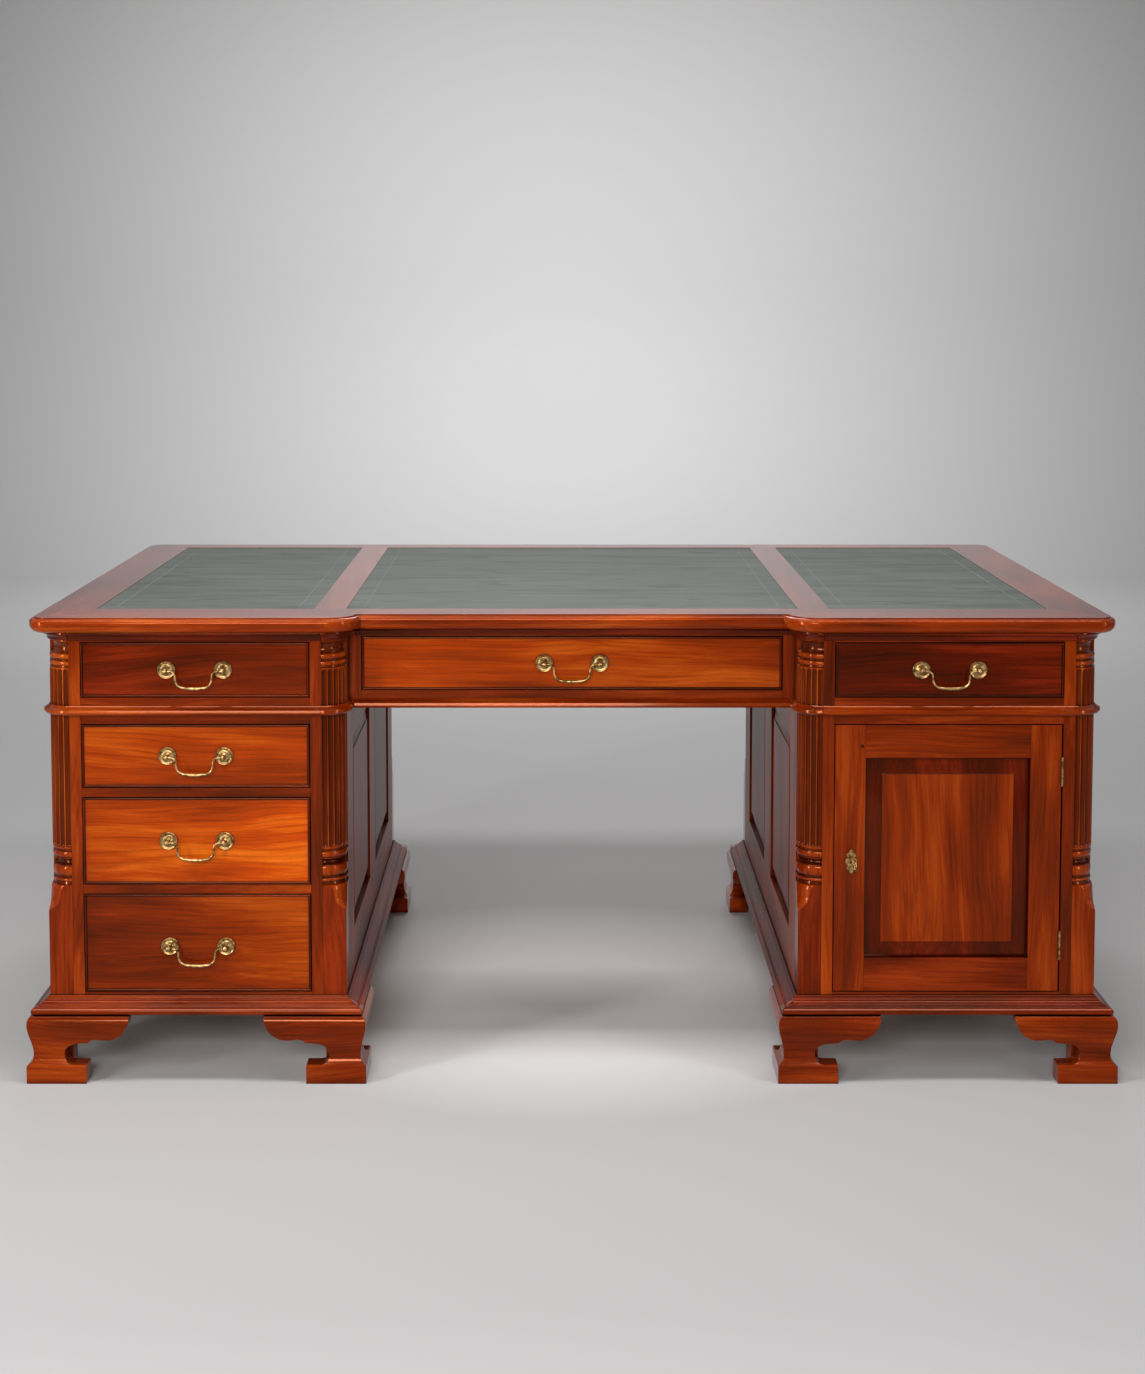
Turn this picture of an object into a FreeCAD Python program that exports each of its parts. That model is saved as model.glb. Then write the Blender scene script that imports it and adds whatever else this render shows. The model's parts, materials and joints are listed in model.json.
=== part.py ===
"""A breakfront partners desk: a leather-topped table section on two pedestals.

Millimetres, +Z up. The origin is on the floor under the middle of the desk, +X runs to the
right of someone facing the front, and the front faces -Y. The right pedestal is modelled and
the left one is the same pedestal given a half turn about Z, so each side of the desk has
three drawers in one pedestal and a cupboard in the other.
"""
import FreeCAD, Part
import math
import os
import re

import Sketcher
from FreeCAD import Placement, Rotation, Vector

doc = FreeCAD.newDocument("partners_desk")

# ---------------------------------------------------------------- driving dimensions
SIZES = {
    # overall
    "desk_width": 1784,  # over the pedestals' outer faces
    "desk_depth": 1060,  # over the pedestals' front and back faces
    "desk_height": 796,
    # top
    "top_thickness": 26,
    "top_overhang": 18,  # pedestal face to the arris of the flat top
    "nose_projection": 8,  # thumb moulding beyond the arris
    "quirk_depth": 2,  # step from the flat top down to the thumb moulding
    "nose_over": 8,
    "nose_under": 13,
    "corner_round": 30,
    "ear_round": 50,  # rounded ends of the breakfront
    "top_break": 45,  # how far the middle of the front stands back
    "border_end": 88,
    "border_front": 110,
    "border_back": 60,
    "divider_width": 55,
    "divider_inset": 33,  # kneehole face to the divider's middle line
    "leather_thickness": 1.5,
    "leather_sink": 1,
    # table section
    "frieze_rail": 29.5,
    "frieze_opening": 94.5,
    "frieze_top_rail": 18,
    "frieze_break": 70,
    "centre_stile": 22,
    "waist_height": 15.5,
    "waist_projection": 10,
    "cornice_height": 15,
    "cornice_projection": 12,
    # pedestals
    "pedestal_width": 507,
    "column_radius": 40,
    "stile_width": 19.5,
    "rail_height": 16,
    "lower_rail": 5.5,  # what shows of the bottom rail above the plinth
    "upper_opening": 109.5,
    "middle_opening": 151,
    "side_thickness": 20,
    "side_stile": 100,
    "side_muntin": 120,
    "side_top_rail": 65,
    "side_bottom_rail": 77,  # above the plinth
    "board": 12,  # partitions and cleats
    # columns
    "flute_count": 6,
    "flute_depth": 2.4,
    "collar_height": 62,  # turned rings between the flutes and the square post
    "tongue_height": 46,
    "post_height": 145,  # square post above the plinth
    "capital_height": 47,
    # plinth and feet
    "foot_height": 115,
    "plinth_height": 28.5,
    "plinth_projection": 28,
    "foot_projection": 35,
    "bracket_length": 175,
    "bracket_thickness": 38,
    "pad_height": 32,
    "pad_length": 102,
    "glue_block": 34,
    # drawers
    "drawer_gap": 1.2,
    "running_gap": 0.3,
    "front_thickness": 22,
    "bead_width": 3.5,
    "bead_rise": 2,
    "drawer_side": 12,
    "drawer_side_drop": 8,
    "drawer_bottom": 6,
    "bottom_rise": 8,
    "frieze_drawer_space": 39,  # behind a closed drawer
    "pedestal_drawer_space": 44,
    "guide_height": 25,
    "runner_tongue": 18,
    # handles
    "handle_centres": 96,
    "lower_handle_drop": 6,  # below the middle of the lowest drawer
    "rose_radius": 15.3,
    "rose_thickness": 3,
    "stem_radius": 3.8,
    "head_radius": 4.8,
    "head_length": 10.8,
    "pivot_reach": 16,  # bail's pivot in front of the drawer's face
    "bail_drop": 29.5,
    "bail_radius": 2,
    "socket_gap": 0.08,
    "socket_depth": 5,
    # doors
    "door_gap": 1.5,
    "hinge_gap": 2.5,
    "door_thickness": 22,
    "door_stile": 52,
    "door_rail": 57,
    "bevel_width": 28,
    "bevel_depth": 6,
    "field_step": 1.5,
    "tongue_thickness": 6,
    "panel_sink": 2,
    "hinge_height": 50,
    "hinge_offset": 55,  # door end to the near end of its hinge
    "knuckle_radius": 2.2,
    "hinge_pin_radius": 1.1,
    "pin_gap": 0.1,
    "leaf_thickness": 1.1,
    "leaf_width": 18,
    # lock
    "lock_backset": 29,
    "lock_width": 46,
    "lock_thickness": 12,
    "lock_height": 60,
    "bolt_height": 10,
    "bolt_thickness": 4,
    "bolt_throw": 8,
    "bolt_gap": 0.25,
    "mortise_gap": 1,  # round the thrown bolt in the stile
    "key_radius": 2.5,
    "key_gap": 0.1,
    "key_slack": 0.5,  # round the key in the wood and the keyhole plate
    "ward": 2,  # lock case between the key's barrel and the bolt
    "key_bit_reach": 8.7,  # from the key's axis
    "key_reach": 44,
    "bow_radius": 11,
    "bow_thickness": 2.5,
    "scutcheon_width": 20,
    "scutcheon_height": 42,
    "scutcheon_thickness": 1.6,
}

# ---------------------------------------------------------------- places worked out from them
PLACES = {
    "face_x": "desk_width / 2",
    "face_y": "desk_depth / 2",
    "kneehole_x": "face_x - pedestal_width",
    "pedestal_x": "(face_x + kneehole_x) / 2",
    "post_in_x": "kneehole_x + column_radius",
    "post_out_x": "face_x - column_radius",
    "post_y": "face_y - column_radius",
    "opening_in_x": "post_in_x + stile_width",
    "opening_out_x": "post_out_x - stile_width",
    "centre_y": "face_y - frieze_break",
    "centre_x": "kneehole_x - centre_stile",
    "frieze_drawer_length": "(face_y + centre_y) / 2 - board / 2 - frieze_drawer_space",
    "pedestal_drawer_length": "face_y - board / 2 - pedestal_drawer_space",
    "frieze_height": "frieze_rail + frieze_opening + frieze_top_rail",
    "frieze_top_z": "desk_height - top_thickness",
    "frieze_base_z": "frieze_top_z - frieze_height",
    "frieze_floor_z": "frieze_base_z + frieze_rail",
    "frieze_lintel_z": "frieze_floor_z + frieze_opening",
    "plinth_top_z": "foot_height + plinth_height",
    "floor_z": "plinth_top_z + lower_rail",
    "lintel_z": "frieze_base_z - rail_height",
    "upper_z": "lintel_z - upper_opening",
    "middle_top_z": "upper_z - rail_height",
    "middle_z": "middle_top_z - middle_opening",
    "lower_top_z": "middle_z - rail_height",
    "inner_x": "kneehole_x + side_thickness",
    "outer_x": "face_x - side_thickness",
    "arris_x": "face_x + top_overhang",
    "arris_y": "face_y + top_overhang",
    "nose_x": "arris_x + nose_projection",
    "nose_y": "arris_y + nose_projection",
    "ear_x": "kneehole_x - top_overhang",
    "leather_x": "arris_x - border_end",
    "leather_front_y": "arris_y - border_front",
    "leather_back_y": "arris_y - border_back",
    "divider_in_x": "kneehole_x + divider_inset - divider_width / 2",
    "divider_out_x": "divider_in_x + divider_width",
    "leather_z": "desk_height - leather_sink",
    "side_low_z": "plinth_top_z + side_bottom_rail",
    "side_high_z": "frieze_base_z - side_top_rail",
    "door_in_x": "opening_in_x + door_gap",
    "door_out_x": "opening_out_x - hinge_gap",
    "door_low_z": "floor_z + door_gap",
    "door_high_z": "lintel_z - door_gap",
    "hinge_x": "opening_out_x - hinge_gap / 2",
    "hinge_y": "face_y + knuckle_radius",
    "lock_x": "door_in_x + lock_backset",
    "lock_z": "(floor_z + lintel_z) / 2",
    "lock_y": "face_y - door_thickness / 2",
    "bolt_z": "lock_z + key_radius + ward + bolt_gap",
    "foot_x": "kneehole_x - foot_projection",
    "foot_y": "face_y + foot_projection",
}


def spreadsheet(name, rows):
    """A sheet with one aliased cell for each row."""
    sheet = doc.addObject("Spreadsheet::Sheet", name)
    for row, (alias, content) in enumerate(rows.items(), start=1):
        sheet.set(f"A{row}", alias)
        sheet.set(f"B{row}", content)
        sheet.setAlias(f"B{row}", alias)
    doc.recompute()
    return sheet


def cells(text):
    """An expression in plain names, with the name of the sheet that holds each one."""

    def sheet_of(match):
        word = match[0]
        sheet = "Sizes." if word in SIZES else "Places." if word in PLACES else ""
        return sheet + word

    return re.sub(r"[A-Za-z_]+", sheet_of, str(text))


sizes = spreadsheet("Sizes", {alias: str(size) for alias, size in SIZES.items()})
places = spreadsheet("Places", {alias: "=" + cells(formula) for alias, formula in PLACES.items()})


scratch = doc.addObject("Spreadsheet::Sheet", "Scratch")


def value(text):
    """The number that an expression comes to."""
    scratch.set("A1", "=" + cells(text))
    scratch.recompute()
    return float(scratch.get("A1"))


# ---------------------------------------------------------------- ways to make a piece
def new(kind, name):
    return doc.addObject(kind, name)


def bind(thing, **expressions):
    """Ties properties to expressions; a double underscore stands for a dot."""
    for path, text in expressions.items():
        thing.setExpression(path.replace("__", "."), cells(text))
    return thing


def place(thing, x="0", y="0", z="0", turn=None):
    """Puts a piece at x, y, z, turned by (axis, degrees)."""
    if turn:
        thing.Placement = Placement(Vector(), Rotation(Vector(*turn[0]), turn[1]))
    return bind(thing, Placement__Base__x=x, Placement__Base__y=y, Placement__Base__z=z)


def board(name, x, y, z):
    """A rectangular board between three pairs of planes."""
    box = new("Part::Box", name)
    spans = {"Length": x, "Width": y, "Height": z}
    for side, (low, high) in spans.items():
        bind(box, **{side: f"({high}) - ({low})"})
    return place(box, x[0], y[0], z[0])


UPRIGHT = ((1, 0, 0), 90)  # x stays along X, y points up and z to the front
OUTWARD = ((1, -1, -1), 120)  # x points to the front, y up and z to the left
ALONG_X = ((0, 1, 0), 90)  # z points along X


def bar(name, flats, radius, length, x="0", y="0", z="0", turn=None):
    """A small turned bar in flats that starts at x, y, z, its corners on the radius."""
    piece = new("Part::Prism", name)
    piece.Polygon = flats
    bind(piece, Circumradius=radius, Height=length)
    return place(piece, x, y, z, turn)


def hole(name, flats, radius, length, x="0", y="0", z="0", turn=None):
    """The same, its flats on the radius: a bore for a bar that turns in it."""
    return bar(name, flats, f"({radius}) / cos(180 deg / {flats})", length, x, y, z, turn)


def cut(name, base, tools):
    """The base less its tools."""
    tool = tools[0]
    if len(tools) > 1:
        tool = new("Part::MultiFuse", name + "_tools")
        tool.Shapes = tools
    result = new("Part::Cut", name)
    result.Base = base
    result.Tool = tool
    return result


def fuse(name, pieces):
    result = new("Part::MultiFuse", name)
    result.Shapes = pieces
    result.Refine = True
    return result


def common(name, first, second):
    result = new("Part::Common", name)
    result.Base = first
    result.Tool = second
    return result


def mirrored(thing, axis, base="0"):
    """A mirror copy across the plane where the axis reads base."""
    copy = new("Part::Mirroring", f"{thing.Name}_{axis}")
    copy.Source = thing
    copy.Normal = Vector(*(1 if axis == letter else 0 for letter in "xyz"))
    return bind(copy, **{f"Base__{axis}": base})


def group(name, pieces, x="0", y="0", z="0", turn=None):
    copy = new("Part::Compound", name)
    copy.Links = pieces
    return place(copy, x, y, z, turn)


def turned(pieces, name):
    """The same pieces on the other pedestal or side: a half turn about the desk's middle."""
    return group(name, pieces, turn=((0, 0, 1), 180))


def draw(sketch, corners, closed=True):
    """Lines and arcs through corners of (x, y) or (x, y, radius).

    A radius belongs to the stretch that leaves its corner, and turns left where it is
    positive and right where it is negative.
    """
    points = [Vector(value(corner[0]), value(corner[1]), 0) for corner in corners]
    count = len(points) if closed else len(points) - 1
    ends = []
    for index in range(count):
        start, stop = points[index], points[(index + 1) % len(points)]
        if len(corners[index]) < 3:
            geometry = sketch.addGeometry(Part.LineSegment(start, stop), False)
            ends.append((geometry, 1, 2))
            continue
        radius = value(corners[index][2])
        chord = stop - start
        rise = math.sqrt(max(radius**2 - (chord.Length / 2) ** 2, 0))
        left = Vector(-chord.y, chord.x, 0).normalize()
        middle = (start + stop) / 2 + left * math.copysign(rise, radius)
        angles = [math.atan2(point.y - middle.y, point.x - middle.x) for point in (start, stop)]
        if radius < 0:
            angles.reverse()
        circle = Part.Circle(middle, Vector(0, 0, 1), abs(radius))
        geometry = sketch.addGeometry(Part.ArcOfCircle(circle, *angles), False)
        ends.append((geometry, 1, 2) if radius > 0 else (geometry, 2, 1))
        bound = sketch.addConstraint(Sketcher.Constraint("Radius", geometry, abs(radius)))
        sketch.setExpression(f"Constraints[{bound}]", cells(f"abs({corners[index][2]})"))
    for index, (geometry, start, stop) in enumerate(ends):
        tie(sketch, geometry, start, corners[index])
        follower = (index + 1) % len(ends)
        if closed or follower:
            after, begin, _ = ends[follower]
            sketch.addConstraint(Sketcher.Constraint("Coincident", geometry, stop, after, begin))
        else:
            tie(sketch, geometry, stop, corners[-1])
    return sketch


def tie(sketch, geometry, point, corner):
    """Holds a point at its corner's x and y."""
    for kind, text in (("DistanceX", corner[0]), ("DistanceY", corner[1])):
        rule = Sketcher.Constraint(kind, -1, 1, geometry, point, value(text))
        number = sketch.addConstraint(rule)
        sketch.setExpression(f"Constraints[{number}]", cells(text))


def shares(pairs, across, up, start="0"):
    """Corners given as shares of two sizes, the second one counted from a level."""
    return [(f"({across}) * {x}", f"({start}) + ({up}) * {y}") for x, y in pairs]


QUARTER_FLATS = 4  # how many flats stand for a quarter circle
HALF_FLAT = 45 / QUARTER_FLATS  # degrees from the middle of a flat to its corner


def quarter(start, middle, end):
    """Corners of the flats that stand for a quarter circle and touch it at its ends."""
    points = []
    for number in range(QUARTER_FLATS):
        turn = f"{HALF_FLAT * (2 * number + 1)} deg"
        point = []
        for s, m, e in zip(start, middle, end):
            inscribed = f"(({s}) - ({m})) * cos({turn}) + (({e}) - ({m})) * sin({turn})"
            point.append(f"({m}) + ({inscribed}) / cos({HALF_FLAT} deg)")
        points.append(tuple(point))
    return points


def profile(name, corners, closed=True, x="0", y="0", z="0", turn=None):
    sketch = draw(new("Sketcher::SketchObject", name), corners, closed)
    return place(sketch, x, y, z, turn)


def extrusion(base, length):
    """A solid as long as given on a drawing, named after it."""
    block = new("Part::Extrusion", base.Name + "_solid")
    block.Base = base
    block.DirMode = "Normal"
    block.Solid = True
    return bind(block, LengthFwd=length)


def prism(name, corners, low, high):
    """An upright prism on a plan outline."""
    return extrusion(profile(name, corners, z=low), f"({high}) - ({low})")


def journal(name, radius, length, x, y, z, turn=None):
    """A small turned bar in flats, but truly round on one side, for what a joint turns on."""
    corners = [(f"({radius}) * cos({angle} deg)", f"({radius}) * sin({angle} deg)")
               for angle in (10, 65, 120, 180, 240, 295, 350)]
    corners[-1] += (radius,)
    return extrusion(profile(name, corners, x=x, y=y, z=z, turn=turn), length)


def body_sketch(body, role, name, corners, offset=None):
    """A sketch on one of a body's own origin planes."""
    sketch = body.newObject("Sketcher::SketchObject", name)
    plane = next(item for item in body.Origin.OriginFeatures if item.Role == role)
    sketch.AttachmentSupport = [(plane, "")]
    sketch.MapMode = "FlatFace"
    if offset:
        bind(sketch, AttachmentOffset__Base__z=offset)
    return draw(sketch, corners)


nodes = {}


def node(label, pieces):
    """A sub-part of the desk, which may be several like solids."""
    nodes[label] = group(label, pieces)
    nodes[label].Label = label
    return nodes[label]


# ---------------------------------------------------------------- the top
def nose_plan(out):
    """The top's outline, out beyond its arris, with the breakfront's rounded ears."""
    across, deep = f"(arris_x + {out})", f"(arris_y + {out})"
    corner, ear = f"(corner_round + {out})", f"(ear_round + {out})"
    turn = f"acos(1 - top_break / {ear})"  # from the ear's front round to the middle of the front
    right = []
    for share in (1, 0.75, 0.5, 0.25, 0):
        right.append((f"ear_x + ear_round - {ear} * sin({turn} * {share})",
                      f"-({deep} - {ear} + {ear} * cos({turn} * {share}))"))
    for side in ("-", ""):
        beside = (f"{across} - {corner}", f"{side}{deep}")
        ahead = (across, f"{side}({deep} - {corner})")
        points = quarter(beside, (beside[0], ahead[1]), ahead)
        right += points if side else points[::-1]
    return right + [(f"-({x})", y) for x, y in right[::-1]]


def rim_edges(shape, levels):
    """Names of the level edges that run round a slab at any of the levels."""
    names = []
    for number, edge in enumerate(shape.Edges, start=1):
        heights = [vertex.Z for vertex in edge.Vertexes]
        if any(max(abs(height - level) for height in heights) < 1e-6 for level in levels):
            names.append(f"Edge{number}")
    return names


def ease_rim(body, name, level, inward, radius):
    """Rounds a slab's rim with three flats, each touching a quarter circle of the radius."""
    first = radius * (2 - math.sqrt(2))
    rounds = (("wide", "(2 - sqrt(2))", (level,)),
              ("narrow", "(tan(22.5 deg) - tan(11.25 deg))", (level, level + inward * first)))
    for step, share, levels in rounds:
        tip = body.Tip
        chamfer = body.newObject("PartDesign::Chamfer", f"{name}_{step}")
        chamfer.Base = (tip, rim_edges(tip.Shape, levels))
        bind(chamfer, Size=f"{name} * {share}")
        doc.recompute()


def top_slab():
    """The whole top before it is divided: thumb-moulded edge under a raised flat."""
    body = new("PartDesign::Body", "top_slab")
    plan = body_sketch(body, "XY_Plane", "nose_plan", nose_plan("nose_projection"))
    slab = body.newObject("PartDesign::Pad", "slab")
    slab.Profile = plan
    bind(slab, Length="top_thickness - quirk_depth")
    doc.recompute()
    ease_rim(body, "nose_over", slab.Length.Value, -1, value("nose_over"))
    ease_rim(body, "nose_under", 0.0, 1, value("nose_under"))
    flat = body_sketch(body, "XY_Plane", "flat_plan", nose_plan("0"),
                       offset="top_thickness - quirk_depth")
    raised = body.newObject("PartDesign::Pad", "flat")
    raised.Profile = flat
    bind(raised, Length="quirk_depth")
    return place(body, z="frieze_top_z")


def top():
    slab = top_slab()
    low, high = "frieze_top_z", "desk_height"
    front, back = "-leather_front_y", "leather_back_y"
    ear = "ear_x - nose_projection"
    plans = {
        "front_board": [("nose_x", "-nose_y"), ("leather_x", front), (ear, front), (ear, "-nose_y")],
        "end_board": [("nose_x", "-nose_y"), ("nose_x", "nose_y"), ("leather_x", back),
                      ("leather_x", front)],
        "back_board": [("nose_x", "nose_y"), ("centre_x", "nose_y"), ("centre_x", back),
                       ("leather_x", back)],
        "divider": [("divider_in_x", front), ("divider_out_x", front), ("divider_out_x", back),
                    ("divider_in_x", back)],
    }
    boards = []
    for name, corners in plans.items():
        piece = common(name, slab, prism(name + "_region", corners, low, high))
        boards += [piece, mirrored(piece, "x")]
    for name, half, inner, outer in (("front_middle_board", ear, front, "-nose_y"),
                                     ("back_middle_board", "centre_x", back, "nose_y")):
        region = prism(name + "_region", [(f"-({half})", inner), (f"-({half})", outer),
                                          (half, outer), (half, inner)], low, high)
        boards.append(common(name, slab, region))
    node("top_frame", boards)
    leathers, grounds = [], []
    depth = (front, back)
    bays = {"right": ("divider_out_x", "leather_x"), "middle": ("-divider_in_x", "divider_in_x")}
    under = "leather_z - leather_thickness"
    for name, span in bays.items():
        leathers.append(board(name + "_leather", span, depth, (under, "leather_z")))
        grounds.append(board(name + "_ground", span, depth, (low, under)))
    for stack in (leathers, grounds):
        stack.append(mirrored(stack[0], "x"))
    node("leather_panels", leathers)
    node("leather_grounds", grounds)


# ---------------------------------------------------------------- mouldings
def frieze_path():
    """Half of the table section's outline, from the middle of the front round to the back."""
    rounds = (
        (("kneehole_x", "-post_y"), ("post_in_x", "-post_y"), ("post_in_x", "-face_y")),
        (("post_out_x", "-face_y"), ("post_out_x", "-post_y"), ("face_x", "-post_y")),
        (("face_x", "post_y"), ("post_out_x", "post_y"), ("post_out_x", "face_y")),
    )
    path = [("0", "-centre_y"), ("kneehole_x", "-centre_y")]
    for start, middle, end in rounds:
        path += quarter(start, middle, end)
    return path + [("0", "face_y")]


def run_of_moulding(name, path, section, level):
    """A moulding swept round a path that starts at the middle of the front, heading right."""
    spine = profile(name + "_path", path, closed=False, z=level)
    face = profile(name + "_section", section, x=path[0][0], y=path[0][1], z=level, turn=OUTWARD)
    sweep = new("Part::Sweep", name)
    sweep.Sections = [face]
    sweep.Spine = (spine, [f"Edge{number}" for number in range(1, len(path))])
    sweep.Solid = True
    sweep.Transition = "Right corner"
    return sweep


def frieze_lengths(name, run, out, low, high):
    """Cuts a moulding round the table section into its straight and curved lengths."""
    levels = (low, high)
    edge_x, edge_y = f"face_x + {out}", f"face_y + {out}"
    inside = f"kneehole_x - {out}"
    front, back = (f"-({edge_y})", "-post_y"), ("post_y", edge_y)
    regions = {
        "ear": ((inside, "post_in_x"), front),
        "return": ((inside, "kneehole_x"), ("-post_y", "-centre_y")),
        "front": (("post_in_x", "post_out_x"), front),
        "corner": (("post_out_x", edge_x), front),
        "end": (("face_x", edge_x), ("-post_y", "post_y")),
        "back_corner": (("post_out_x", edge_x), back),
        "middle": (("0", inside), (f"-centre_y - {out}", "-centre_y")),
        "back": (("0", "post_out_x"), ("face_y", edge_y)),
    }
    lengths = []
    for place_name, (x, y) in regions.items():
        region = board(f"{name}_{place_name}_region", x, y, levels)
        piece = common(f"{name}_{place_name}", run, region)
        other = mirrored(piece, "x")
        if x[0] == "0":
            lengths.append(fuse(f"{name}_{place_name}_whole", [piece, other]))
        else:
            lengths += [piece, other]
    return lengths


# each section as shares of its projection and of its height, from the wall at its foot round
# to the wall at its top; every round is drawn in a few flats
WAIST = ((0, 0), (0.7, 0), (1, 0.24), (0.9, 0.56), (0.4, 0.7), (0, 1))
CORNICE = ((0, 0), (0.25, 0), (0.3, 0.36), (0.6, 0.64), (1, 0.67), (1, 1), (0, 1))
PLINTH = (
    (0, 0), (0.84, 0), (1, 0.12), (1, 0.34), (0.84, 0.46), (0.64, 0.46), (0.62, 0.56), (0.34, 0.7),
    (0.25, 0.84), (0.14, 0.84), (0.14, 1), (0, 1),
)


def mouldings():
    levels = {
        "waist": (WAIST, "frieze_base_z", "frieze_base_z + waist_height"),
        "cornice": (CORNICE, "frieze_top_z - cornice_height", "frieze_top_z"),
    }
    for name, (pairs, low, high) in levels.items():
        out = f"{name}_projection"
        section = shares(pairs, out, f"{name}_height")
        run = run_of_moulding(name, frieze_path(), section, low)
        node(f"{name}_moulding", frieze_lengths(name, run, out, low, high))
    plinths()


def plinths():
    """Torus, fillet, cove and fillet round the foot of each pedestal, in four lengths."""
    section = shares(PLINTH, "plinth_projection", "plinth_height")
    path = [
        ("pedestal_x", "-face_y"),
        ("face_x", "-face_y"),
        ("face_x", "face_y"),
        ("pedestal_x", "face_y"),
    ]
    run = run_of_moulding("plinth", path, section, "foot_height")
    levels = ("foot_height", "plinth_top_z")
    edge_x, edge_y = "face_x + plinth_projection", "face_y + plinth_projection"
    regions = {
        "front": (("pedestal_x", edge_x), (f"-({edge_y})", "-face_y")),
        "back": (("pedestal_x", edge_x), ("face_y", edge_y)),
        "side": (("face_x", edge_x), ("-face_y", "face_y")),
    }
    lengths = []
    for name, (x, y) in regions.items():
        piece = common(f"plinth_{name}", run, board(f"plinth_{name}_region", x, y, levels))
        pair = [piece, mirrored(piece, "x", "pedestal_x")]
        lengths += pair if name == "side" else [fuse(f"plinth_{name}_whole", pair)]
    node("plinth_mouldings", lengths + [turned(lengths, "left_plinth")])


# ---------------------------------------------------------------- columns
# one flute as shares of its pitch round the column and of its depth
FLUTE = ((0.14, 0), (0.3, 1), (0.7, 1), (0.86, 0))
# turned rings as shares of the column's radius and of the rings' height, from the bottom up;
# over 1.42 of the radius the corner's square trims a ring away
TONGUE = ((1.45, 0), (1.3, 0.35), (1.12, 0.65), (1, 1))
COLLAR = (
    (0.92, 0.06), (1, 0.14), (0.92, 0.22), (1, 0.42), (0.78, 0.64), (1, 0.76), (1, 0.88), (0.9, 1),
)
CAPITAL = ((0.92, 0), (1, 0.12), (1, 0.24), (0.9, 0.34), (0.8, 0.68), (1, 0.94))


def fluted_shaft(name, low, high):
    """A quarter of a round shaft whose flutes run from end to end."""
    corners = [("0", "0"), ("column_radius", "0")]
    for number in range(int(value("flute_count"))):
        for across, depth in FLUTE:
            turn = f"(90 deg * ({number} + {across}) / flute_count)"
            radius = f"(column_radius - flute_depth * {depth})"
            corners.append((f"{radius} * cos({turn})", f"-{radius} * sin({turn})"))
    return prism(name, corners + [("0", "-column_radius")], low, high)


def rings(name, outline):
    """A quarter of a turned length in flats, from (radius, height) at each change of slope."""
    sections = []
    for number, (radius, level) in enumerate(outline):
        ring = new("Part::RegularPolygon", f"{name}_ring_{number}")
        ring.Polygon = 4 * QUARTER_FLATS
        bind(ring, Circumradius=f"({radius}) / cos({HALF_FLAT} deg)")
        sections.append(place(ring, z=level, turn=((0, 0, 1), HALF_FLAT)))
    turning = new("Part::Loft", name + "_turning")
    turning.Sections = sections
    turning.Ruled = True
    turning.Solid = True
    square = board(name + "_square", ("0", "column_radius"), ("-column_radius", "0"),
                   (outline[0][1], outline[-1][1]))
    return common(name, turning, square)


def lower_column():
    """Flutes, a turned collar, a lamb's tongue and a square post, from the plinth upwards."""
    post = "plinth_height + post_height"
    tongue = f"{post} + tongue_height"
    collar = f"{tongue} + collar_height"
    turning = [
        ("column_radius * 1.45", "0"),
        *shares(TONGUE, "column_radius", "tongue_height", post),
        *shares(COLLAR, "column_radius", "collar_height", tongue),
    ]
    shaft = fluted_shaft("pedestal_shaft", collar, "frieze_base_z - foot_height")
    return fuse("pedestal_column", [rings("collar", turning), shaft])


def frieze_column():
    """A short fluted column under a turned capital."""
    capital = "frieze_height - cornice_height - capital_height"
    turning = shares(CAPITAL, "column_radius", "capital_height", capital)
    turning.append(("column_radius", "frieze_height"))
    shaft = fluted_shaft("frieze_shaft", "0", capital)
    return fuse("frieze_column", [rings("capital", turning), shaft])


def columns():
    first = group("front_outer_column", [lower_column()], "post_out_x", "-post_y", "foot_height")
    corners = four_corners(first)
    node("pedestal_columns", corners + [turned(corners, "left_columns")])
    short = frieze_column()
    outer = group("front_frieze_column", [short], "post_out_x", "-post_y", "frieze_base_z")
    back = mirrored(outer, "y")
    ear = group("ear_column", [mirrored(short, "x")], "post_in_x", "-post_y", "frieze_base_z")
    right = [outer, back, ear]
    node("frieze_columns", right + [mirrored(piece, "x") for piece in right])


def four_corners(piece):
    """A piece at the right pedestal's front outer corner, and its three mirror copies."""
    beside = mirrored(piece, "x", "pedestal_x")
    return [piece, beside, mirrored(piece, "y"), mirrored(beside, "y")]


# ---------------------------------------------------------------- feet
# both as shares of the rise from the pad to the top of the foot: the S of the face as shares of
# the bracket's thickness inwards, and the scrolled edge as shares of the bracket's length
OGEE = ((0.18, 0), (0.26, 0.28), (0.04, 0.7), (0.03, 0.88), (0.14, 1))
SCROLL = (
    (0.42, 0), (0.37, 0.15), (0.42, 0.36), (0.66, 0.5), (0.71, 0.57), (0.82, 0.55), (0.94, 0.74),
    (1, 1),
)


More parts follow.
